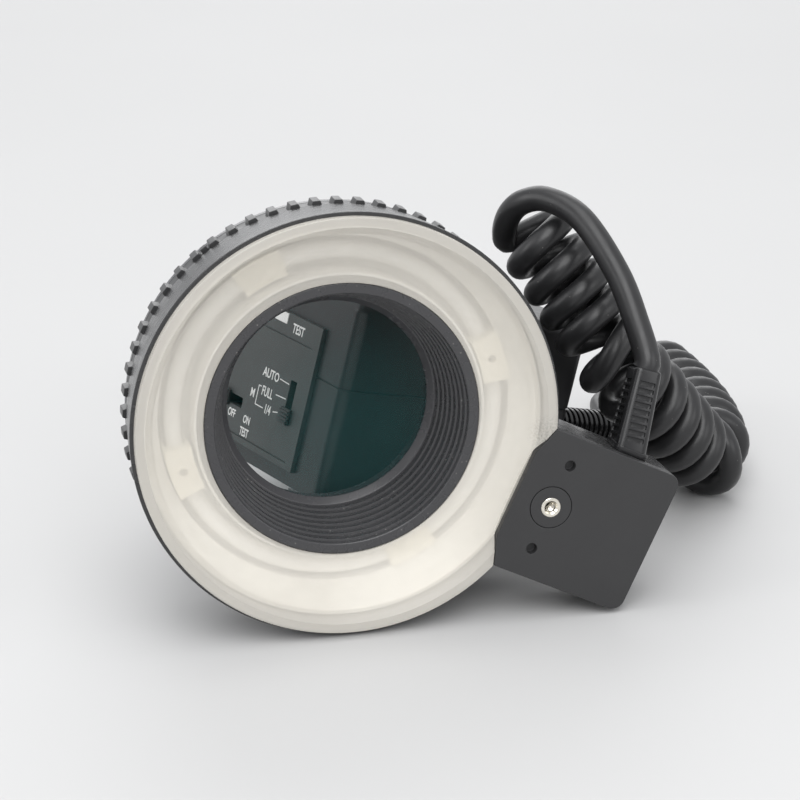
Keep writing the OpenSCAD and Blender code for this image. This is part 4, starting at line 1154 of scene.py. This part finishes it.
@dataclass
class JunctionBox:
    """Junction box beside the ring: cover plate, insert in its boss and the cord's strain relief."""

    reach: float = 84.6
    width: float = 37.6
    depth: float = 16.5
    corner: float = 3.2
    inner: float = 45.9
    inner_w: float = 22.6
    cover_r: float = 52.0
    side_gap: float = 0.15
    insert_reach: float = 55.7
    insert_r: float = 2.5
    insert_hole_r: float = 1.25
    insert_len: float = 5.0
    insert_proud: float = 0.2
    insert_edge: float = 0.15
    thread_pitch: float = 0.5
    thread_depth: float = 0.25
    sink: float = 0.6
    sink_w: float = 0.5
    boss_r: float = 5.35
    groove: float = 0.08
    boot_reach: float = 71.0
    boot_tilt: float = 12.0
    boot_lean: float = 8.0
    boot_len: float = 21.0
    boot_w: float = 8.8
    boot_tip_w: float = 7.4
    boot_corner: float = 2.2
    boot_root: float = 3.0
    boot_tip: float = 0.6
    tip_scale: float = 0.93
    boot_slots: int = 9
    slots_from: float = 2.6
    slots_end: float = 2.4
    slot_depth: float = 0.8
    flange_w: float = 9.6
    flange_t: float = 1.6
    flange_corner: float = 2.4

    def outline(self, grow: float = 0.0) -> list[Point]:
        """Outline of the box seen from the front.

        Args:
            grow: How far it is widened all round.

        Returns:
            The corners in order, in the box's millimetres.
        """
        half, inner_half, inner = self.width / 2 + grow, self.inner_w / 2 + grow, self.inner - grow
        meet = math.sqrt(self.cover_r ** 2 - (self.width / 2) ** 2) - grow
        r, far = self.corner, self.reach - self.corner
        arc = [math.radians(a) for a in range(90, -1, -10)]
        upper = [(far + r * math.cos(a), half - r + r * math.sin(a)) for a in arc]
        lower = [(x, -y) for x, y in reversed(upper)]
        return [(inner, -inner_half), (inner, inner_half), (meet, half), *upper, *lower, (meet, -half)]

    def boot_axes(self) -> Matrix:
        """Place of the strain relief on the box.

        Returns:
            The matrix from its own axes, Z along the cord, to the box's millimetres.
        """
        place = Matrix.Translation((self.boot_reach, self.width / 2, -self.depth / 2))
        lean = Matrix.Rotation(math.radians(self.boot_lean), 4, "Z")
        return place @ lean @ Matrix.Rotation(math.radians(-90.0 - self.boot_tilt), 4, "X")

    def cord_exit(self, layout: Layout) -> tuple[Vector, Vector]:
        """Point and direction in which the cord leaves the strain relief, in the row frame.

        Args:
            layout: Frames of the sub-assemblies.

        Returns:
            The point in metres, and the direction.
        """
        axes = layout.box @ self.boot_axes()
        tip = axes @ Vector((0.0, 0.0, self.boot_len))
        return tip, (tip - axes @ Vector((0.0, 0.0, 0.0))).normalized()

    @staticmethod
    def rounded_square(width: float, corner: float, per: int = 6) -> list[Point]:
        """Outline of a square with round corners.

        Args:
            width: Width across the flats.
            corner: Radius of the corners.
            per: Number of steps round a corner.

        Returns:
            The points of the outline in order.
        """
        half = width / 2 - corner
        points = []
        for turn, (sx, sy) in enumerate(((1, 1), (-1, 1), (-1, -1), (1, -1))):
            for k in range(per + 1):
                a = math.radians(90.0 * (turn + k / per))
                points.append((sx * half + corner * math.cos(a), sy * half + corner * math.sin(a)))
        return points

    def boot(self) -> Piece:
        """Model the slotted strain relief.

        Returns:
            The strain relief with its flange, in the box's millimetres.
        """
        sleeve = prism("head_boot", self.rounded_square(self.boot_w, self.boot_corner), -self.boot_root, 0.0)
        taper = self.boot_tip_w / self.boot_w
        with editing(sleeve):
            for height, scale in ((self.boot_len - self.boot_tip, taper), (self.boot_tip, self.tip_scale)):
                top = max(v.co.z for v in bmesh.from_edit_mesh(sleeve.data).verts)
                select_where(sleeve, lambda co: co.z > top - TOUCH)
                bpy.ops.mesh.extrude_region_move(TRANSFORM_OT_translate={"value": (0.0, 0.0, height)})
                bpy.ops.transform.resize(value=(scale, scale, 1.0), center_override=(0.0, 0.0, top + height))
        pitch = (self.boot_len - self.slots_from - self.slots_end) / self.boot_slots
        tools = []
        for i in range(self.boot_slots):
            z = self.slots_from + pitch * i
            half = (self.boot_w + (self.boot_tip_w - self.boot_w) * z / self.boot_len) / 2
            for turn in range(4):
                slot = prism("slot", self.rounded_square(1.0, 0.25, 3), z, z + pitch * 0.6)
                slot.data.transform(Matrix.Rotation(math.radians(90.0 * turn), 4, "Z")
                                    @ Matrix.Translation((0.0, half, 0.0))
                                    @ Matrix.Diagonal((half * 1.1, 2 * self.slot_depth, 1.0, 1.0)))
                tools.append(slot)
        cut(sleeve, joined(tools, "slots"))
        sleeve.data.transform(self.boot_axes())
        with editing(sleeve):
            bpy.ops.mesh.bisect(plane_co=(0.0, self.width / 2, 0.0), plane_no=(0.0, 1.0, 0.0),
                                use_fill=True, clear_inner=True)
        rounded(sleeve, 0.14, 40.0)
        square = self.rounded_square(self.flange_w, self.flange_corner)
        flange = prism("boot_flange", square, 0.0, self.flange_t)
        rounded(flange, 0.3, 40.0)
        flange.data.transform(Matrix.Translation((self.boot_reach, self.width / 2, -self.depth / 2))
                              @ Matrix.Rotation(math.radians(-90.0), 4, "X"))
        return finished(joined([sleeve, flange], "head_boot"))

    def boss(self) -> Piece:
        """Turn the boss, a hair smaller than its hole so that a fine groove shows."""
        r, hole, foot = self.boss_r - self.groove, self.insert_r, -self.insert_len
        return finished(turned("round_boss", [(r, 0.0), (r, foot), (hole, foot), (hole, 0.0)], 96), 0.18)

    def insert(self) -> Piece:
        """Turn the insert with a countersunk mouth and thread ridges in its hole.

        Returns:
            The insert in millimetres, from the middle of its mouth.
        """
        r, hole, top, foot = self.insert_r, self.insert_hole_r, self.insert_proud, -self.insert_len
        profile = [(r, top - self.insert_edge), (r, foot), (hole, foot)]
        pitch = self.thread_pitch
        for i in range(int((self.insert_len - self.sink) / pitch)):
            z = foot + pitch * i
            profile += [(hole, z + pitch * 0.2), (hole + self.thread_depth, z + pitch * 0.5),
                        (hole, z + pitch * 0.8)]
        profile += [(hole, top - self.sink), (hole + self.sink_w, top), (r - self.insert_edge, top)]
        return finished(turned("brass_insert_turned", profile, 96), crease=25.0)

    def build(self, kit: Kit) -> None:
        """Make and dress the pieces of the box.

        Args:
            kit: Frames and finishes.
        """
        at_insert = kit.layout.box @ Matrix.Translation((self.insert_reach, 0.0, 0.0))
        for node, make in (("insert_boss", self.boss), ("threaded_insert", self.insert)):
            kit.settle(make(), slot_of(node), [node], at_insert)
        kit.settle(self.boot(), "boot_rubber", ["head_strain_relief"], kit.layout.box)
        kit.dress_copies({"junction_box_cover": 0.3})


@dataclass(frozen=True)
class Word:
    """One word on the panel: letter size, share of the usual letter width, left end and base line."""

    text: str
    size: float
    narrow: float
    x: float
    z: float


@dataclass
class PowerPack:
    """Power pack behind the ring: shells, control panel with its legends, sliders, door and shoe."""

    depth: float = 77.5
    panel_face: float = -1.2
    legend_t: float = 0.04
    legend_bold: float = 0.06
    stroke_w: float = 0.28
    knob_x: float = 13.5
    knob_z: float = 17.2
    knob_proud: float = 1.3
    ridge_count: int = 4
    ridge_pitch: float = 0.95
    ridge_half: float = 1.6
    boot_x: float = 23.0
    boot_z: float = 23.5
    boot_len: float = 22.0
    boot_r: float = 4.8
    boot_ribs: int = 11
    rib_depth: float = 0.9
    collar_proud: float = 0.6
    collar_t: float = 1.6
    words: tuple[Word, ...] = (
        Word("AUTO", 3.4, 0.8, -0.9, 24.2), Word("FULL", 3.6, 0.67, 0.3, 19.2),
        Word("1/4", 3.5, 0.68, 3.1, 15.0), Word("M", 3.3, 0.8, -4.6, 17.4),
        Word("OFF", 3.0, 0.68, -12.8, 9.7), Word("ON", 3.0, 0.7, -5.2, 9.8),
        Word("TEST", 3.5, 0.72, 7.6, 38.3), Word("TEST", 3.2, 0.6, -5.6, 6.3),
    )
    leaders: tuple[tuple[Point, Point], ...] = (
        ((7.2, 25.4), (11.6, 25.2)), ((6.9, 21.0), (11.6, 21.2)), ((7.2, 16.4), (10.8, 17.2)),
        ((-1.4, 16.0), (-1.4, 21.2)), ((-1.4, 21.2), (-0.2, 21.2)), ((-1.4, 16.0), (2.4, 16.0)),
    )

    def cord_exit(self, layout: Layout) -> tuple[Vector, Vector]:
        """Point and direction in which the cord leaves the pack's strain relief, in the row frame.

        Args:
            layout: Frames of the sub-assemblies.

        Returns:
            The point in metres, and the direction.
        """
        root = layout.pack @ Vector((self.boot_x, self.depth, self.boot_z))
        tip = layout.pack @ Vector((self.boot_x, self.depth + self.boot_len, self.boot_z))
        return tip, (tip - root).normalized()

    def boot(self) -> Piece:
        """Turn the ribbed strain relief.

        Returns:
            The strain relief in millimetres, with Z out of the pack.
        """
        step = self.boot_len / (self.boot_ribs + 1)
        core, collar = self.boot_r - self.rib_depth, self.boot_r + self.collar_proud
        profile = [(0.0, 0.0), (collar, 0.0), (collar, self.collar_t), (core, self.collar_t)]
        for i in range(1, self.boot_ribs + 1):
            low = step * (i + 0.3)
            high = min(low + step * 0.55, self.boot_len - 0.05)
            profile += [(core, low), (self.boot_r, low), (self.boot_r, high), (core, high)]
        profile += [(core, self.boot_len), (0.0, self.boot_len)]
        return finished(turned("pack_boot", profile, 96), 0.18)

    def letter(self, word: Word) -> Piece:
        """Letter one word on the panel.

        Args:
            word: The word with its size and place.

        Returns:
            The word as a mesh, in the pack's millimetres.
        """
        bpy.ops.object.select_all(action="DESELECT")
        bpy.ops.object.text_add()
        obj = started("legend_word")
        obj.data.body = word.text
        obj.data.size = word.size
        obj.data.extrude = self.legend_t / 2
        obj.data.offset = self.legend_bold
        obj.data.resolution_u = 3
        bpy.ops.object.convert(target="MESH")
        obj = bpy.context.object
        out = self.panel_face - self.legend_t / 2
        rows = (word.narrow, 0, 0, word.x), (0, 0, -1, out), (0, 1, 0, word.z), (0, 0, 0, 1)
        obj.data.transform(Matrix(rows))
        return obj

    def stroke(self, a: Point, b: Point) -> Piece:
        """Draw one straight line on the panel.

        Args:
            a: Start of the line on the panel.
            b: End of the line on the panel.

        Returns:
            The line as a thin raised mesh, in the pack's millimetres.
        """
        start, along = Vector(a), Vector(b) - Vector(a)
        side = Vector((-along.y, along.x)).normalized() * self.stroke_w / 2
        corners = [start - side, start + along - side, start + along + side, start + side]
        line = prism("legend_line", [tuple(corner) for corner in corners], 0.0, self.legend_t)
        line.data.transform(Matrix(((1, 0, 0, 0), (0, 0, -1, self.panel_face), (0, 1, 0, 0), (0, 0, 0, 1))))
        return line

    def legends(self) -> Piece:
        """Letter the switch positions and draw their leader lines."""
        pieces = [self.letter(word) for word in self.words] + [self.stroke(*line) for line in self.leaders]
        return joined(pieces, "panel_legends")

    def ridges(self) -> Piece:
        """Lay thin pale lines across the mode knob, a painted highlight on its grip ridges.

        Returns:
            The painted highlight lines in the pack's millimetres.
        """
        bars = []
        for i in range(self.ridge_count):
            z = self.knob_z + self.ridge_pitch * (i - (self.ridge_count - 1) / 2)
            bar = self.stroke((self.knob_x - self.ridge_half, z), (self.knob_x + self.ridge_half, z))
            bar.data.transform(Matrix.Translation((0.0, -self.knob_proud, 0.0)))
            bars.append(bar)
        return joined(bars, "knob_ridge_highlights")

    def build(self, kit: Kit) -> None:
        """Make and dress the pieces of the pack.

        Args:
            kit: Frames and finishes.
        """
        pack = kit.layout.pack
        boot_at = Matrix.Translation((self.boot_x, self.depth, self.boot_z))
        out = boot_at @ Matrix.Rotation(math.radians(-90), 4, "X")
        kit.settle(self.boot(), "boot_rubber", ["pack_strain_relief"], pack @ out)
        kit.settle(self.legends(), "window_plastic", place=pack)
        # Painted highlight: the knob's ridge lines take the lighter panel plastic.
        kit.settle(self.ridges(), "panel_plastic", place=pack, body=body_of("mode_slider"))
        kit.dress_copies({
            "lower_shell": 0.0, "upper_shell": 0.0, "control_panel": 0.0, "lamp_window": 0.15,
            "mode_slider": 0.1, "power_slider": 0.1, "battery_door": 0.0, "shoe_foot": 0.05,
            "shoe_lock_ring": 0.12, "lock_washer": 0.1, "pack_screws": 0.1,
        })


@dataclass(frozen=True)
class Lamp:
    """Soft square lamp, with its place and edge in metres and its power in watts."""

    name: str
    at: Place
    size: float
    power: float

    def hang(self, aim: Place) -> None:
        """Hang the lamp.

        Args:
            aim: Point that it faces.
        """
        data = bpy.data.lights.new(self.name, "AREA")
        data.size = self.size
        data.energy = self.power
        obj = bpy.data.objects.new(self.name, data)
        bpy.context.scene.collection.objects.link(obj)
        obj.location = self.at
        obj.rotation_euler = (Vector(aim) - Vector(self.at)).to_track_quat("-Z", "Y").to_euler()


@dataclass
class Studio:
    """Pale floor, soft lamps and the camera at the photograph's angle."""

    camera_at: Place = (-0.00054, -0.64249, 0.28145)
    camera_pitch: float = 69.29
    lens: float = 117.0
    sensor: float = 36.0
    floor_half: float = 4.0
    floor_colour: Colour = (0.57, 0.57, 0.57)
    room_colour: Colour = (0.97, 0.98, 1.0)
    room_light: float = 0.55
    room_seen: float = 0.85
    lamp_aim: Place = (0.0, 0.0, 0.05)
    lamps: tuple[Lamp, ...] = (
        Lamp("overhead_panel", (0.0, -0.1, 1.1), 0.7, 3.5),
        Lamp("front_panel", (0.05, -0.85, 0.95), 0.9, 9.0),
        Lamp("back_panel", (0.0, 1.1, 0.75), 1.2, 7.0),
        Lamp("left_panel", (-0.95, -0.3, 0.5), 0.6, 2.5),
        Lamp("right_panel", (0.95, -0.6, 0.45), 0.6, 1.5),
    )

    def floor(self) -> None:
        """Lay the floor."""
        bpy.ops.object.select_all(action="DESELECT")
        bpy.ops.mesh.primitive_plane_add(size=2 * self.floor_half)
        floor = started("studio_floor")
        graph = Graph("pale_floor")
        graph.colour(graph.tone(graph.clouds(0.3, 3.0), self.floor_colour, 0.985, 1.015))
        graph.set(Roughness=0.6, Specular_IOR_Level=0.3)
        floor.data.materials.append(graph.material)

    def world(self) -> None:
        """Fill the surroundings with soft light, brighter where the camera or a mirror image shows them."""
        world = bpy.data.worlds.new("pale_room")
        bpy.context.scene.world = world
        world.use_nodes = True
        tree = world.node_tree
        tree.nodes.clear()
        path = tree.nodes.new("ShaderNodeLightPath")
        seen = path.outputs["Is Camera Ray"]
        for ray in ("Is Glossy Ray", "Is Transmission Ray"):
            either = tree.nodes.new("ShaderNodeMath")
            either.operation = "MAXIMUM"
            tree.links.new(seen, either.inputs[0])
            tree.links.new(path.outputs[ray], either.inputs[1])
            seen = either.outputs["Value"]
        level = tree.nodes.new("ShaderNodeMapRange")
        level.inputs["To Min"].default_value = self.room_light
        level.inputs["To Max"].default_value = self.room_seen
        back = tree.nodes.new("ShaderNodeBackground")
        back.inputs["Color"].default_value = (*self.room_colour, 1.0)
        out = tree.nodes.new("ShaderNodeOutputWorld")
        tree.links.new(seen, level.inputs["Value"])
        tree.links.new(level.outputs["Result"], back.inputs["Strength"])
        tree.links.new(back.outputs["Background"], out.inputs["Surface"])

    def camera(self) -> None:
        """Set up the camera as in the photograph."""
        data = bpy.data.cameras.new("photo_camera")
        data.lens = self.lens
        data.sensor_width = self.sensor
        data.clip_start = 0.01
        camera = bpy.data.objects.new("photo_camera", data)
        bpy.context.scene.collection.objects.link(camera)
        camera.location = self.camera_at
        camera.rotation_euler = (math.radians(self.camera_pitch), 0.0, 0.0)
        bpy.context.scene.camera = camera

    def build(self) -> None:
        """Set up floor, lamps and surroundings."""
        self.floor()
        self.world()
        for lamp in self.lamps:
            lamp.hang(self.lamp_aim)
        bpy.context.scene.view_settings.view_transform = "Standard"


def make_finishes(layout: Layout) -> Finishes:
    """Make the material of each slot.

    Args:
        layout: Frames of the sub-assemblies.

    Returns:
        Materials by slot name.
    """
    rubbed = layout.box @ Vector((47.5, 16.5, -1.0))
    painted_shade = layout.head @ Vector((13.0, -12.0, -27.4))
    kinds = {
        "frosted_cover": Frosted((0.98, 0.94, 0.86), 0.22, 0.34, rubbed),
        "black_housing": Moulded((0.032, 0.032, 0.033), 0.26, Relief.SMOOTH, cloud=0.04),
        "grey_housing": Moulded((0.036, 0.036, 0.037), 0.36, Relief.SATIN, cloud=0.06),
        "box_plastic": Moulded((0.027, 0.027, 0.028), 0.46, Relief.MATT, cloud=0.05),
        "reflector_metal": Metal((0.96, 0.94, 0.89), 0.45, metallic=0.1),
        "tube_glass": Moulded((0.94, 0.93, 0.9), 0.15, Relief.SMOOTH, cloud=0.03),
        "ivory_plastic": Moulded((0.9, 0.85, 0.72), 0.4, Relief.SMOOTH, cloud=0.05),
        "lamp_glass": Clear((0.9, 0.85, 0.7), 0.35),
        "baffle_black": Moulded((0.046, 0.046, 0.049), 0.28, Relief.SMOOTH, cloud=0.05, dust=0.3),
        "ring_black": Moulded((0.07, 0.07, 0.074), 0.26, Relief.SMOOTH, cloud=0.05),
        "front_glass": Clear((0.02, 0.1, 0.1), 0.06, painted_shade),
        "steel": Metal((0.6, 0.6, 0.59), 0.3),
        "brass_insert": Metal((0.85, 0.81, 0.72), 0.22),
        "spring_bronze": Metal((0.72, 0.56, 0.32), 0.3),
        "board_green": Moulded((0.03, 0.13, 0.06), 0.35, Relief.SMOOTH),
        "coil_copper": Metal((0.72, 0.36, 0.2), 0.35),
        "boot_rubber": Moulded((0.013, 0.013, 0.014), 0.22, Relief.SMOOTH),
        "cord_jacket": Jacket((0.02, 0.02, 0.021), 0.34),
        "pack_plastic": Moulded((0.026, 0.026, 0.027), 0.36, Relief.MATT, cloud=0.06),
        "panel_plastic": Moulded((0.055, 0.058, 0.057), 0.46, Relief.MATT, cloud=0.06),
        "window_plastic": Moulded((0.8, 0.8, 0.78), 0.35, Relief.SMOOTH, cloud=0.03),
        "knob_plastic": Moulded((0.03, 0.03, 0.03), 0.4, Relief.SATIN),
        "cell_wrap": Moulded((0.08, 0.14, 0.3), 0.3, Relief.SMOOTH),
        "capacitor_sleeve": Moulded((0.02, 0.025, 0.08), 0.3, Relief.SMOOTH),
        "core_iron": Metal((0.35, 0.3, 0.24), 0.45),
    }
    return {slot: kind.build(slot) for slot, kind in kinds.items()}


def main() -> None:
    """Build the sub-assemblies in order."""
    logging.basicConfig(level=logging.INFO, format="%(message)s")
    layout = Layout()
    kit = Kit(layout, make_finishes(layout))
    studio, box, pack = Studio(), JunctionBox(), PowerPack()
    studio.camera()
    CurlyCord().build(kit, box, pack)
    kit.dress_solids()
    RingHead().build(kit, box)
    MountingCollar().build(kit)
    box.build(kit)
    pack.build(kit)
    studio.build()


if __name__ == "__main__":
    main()
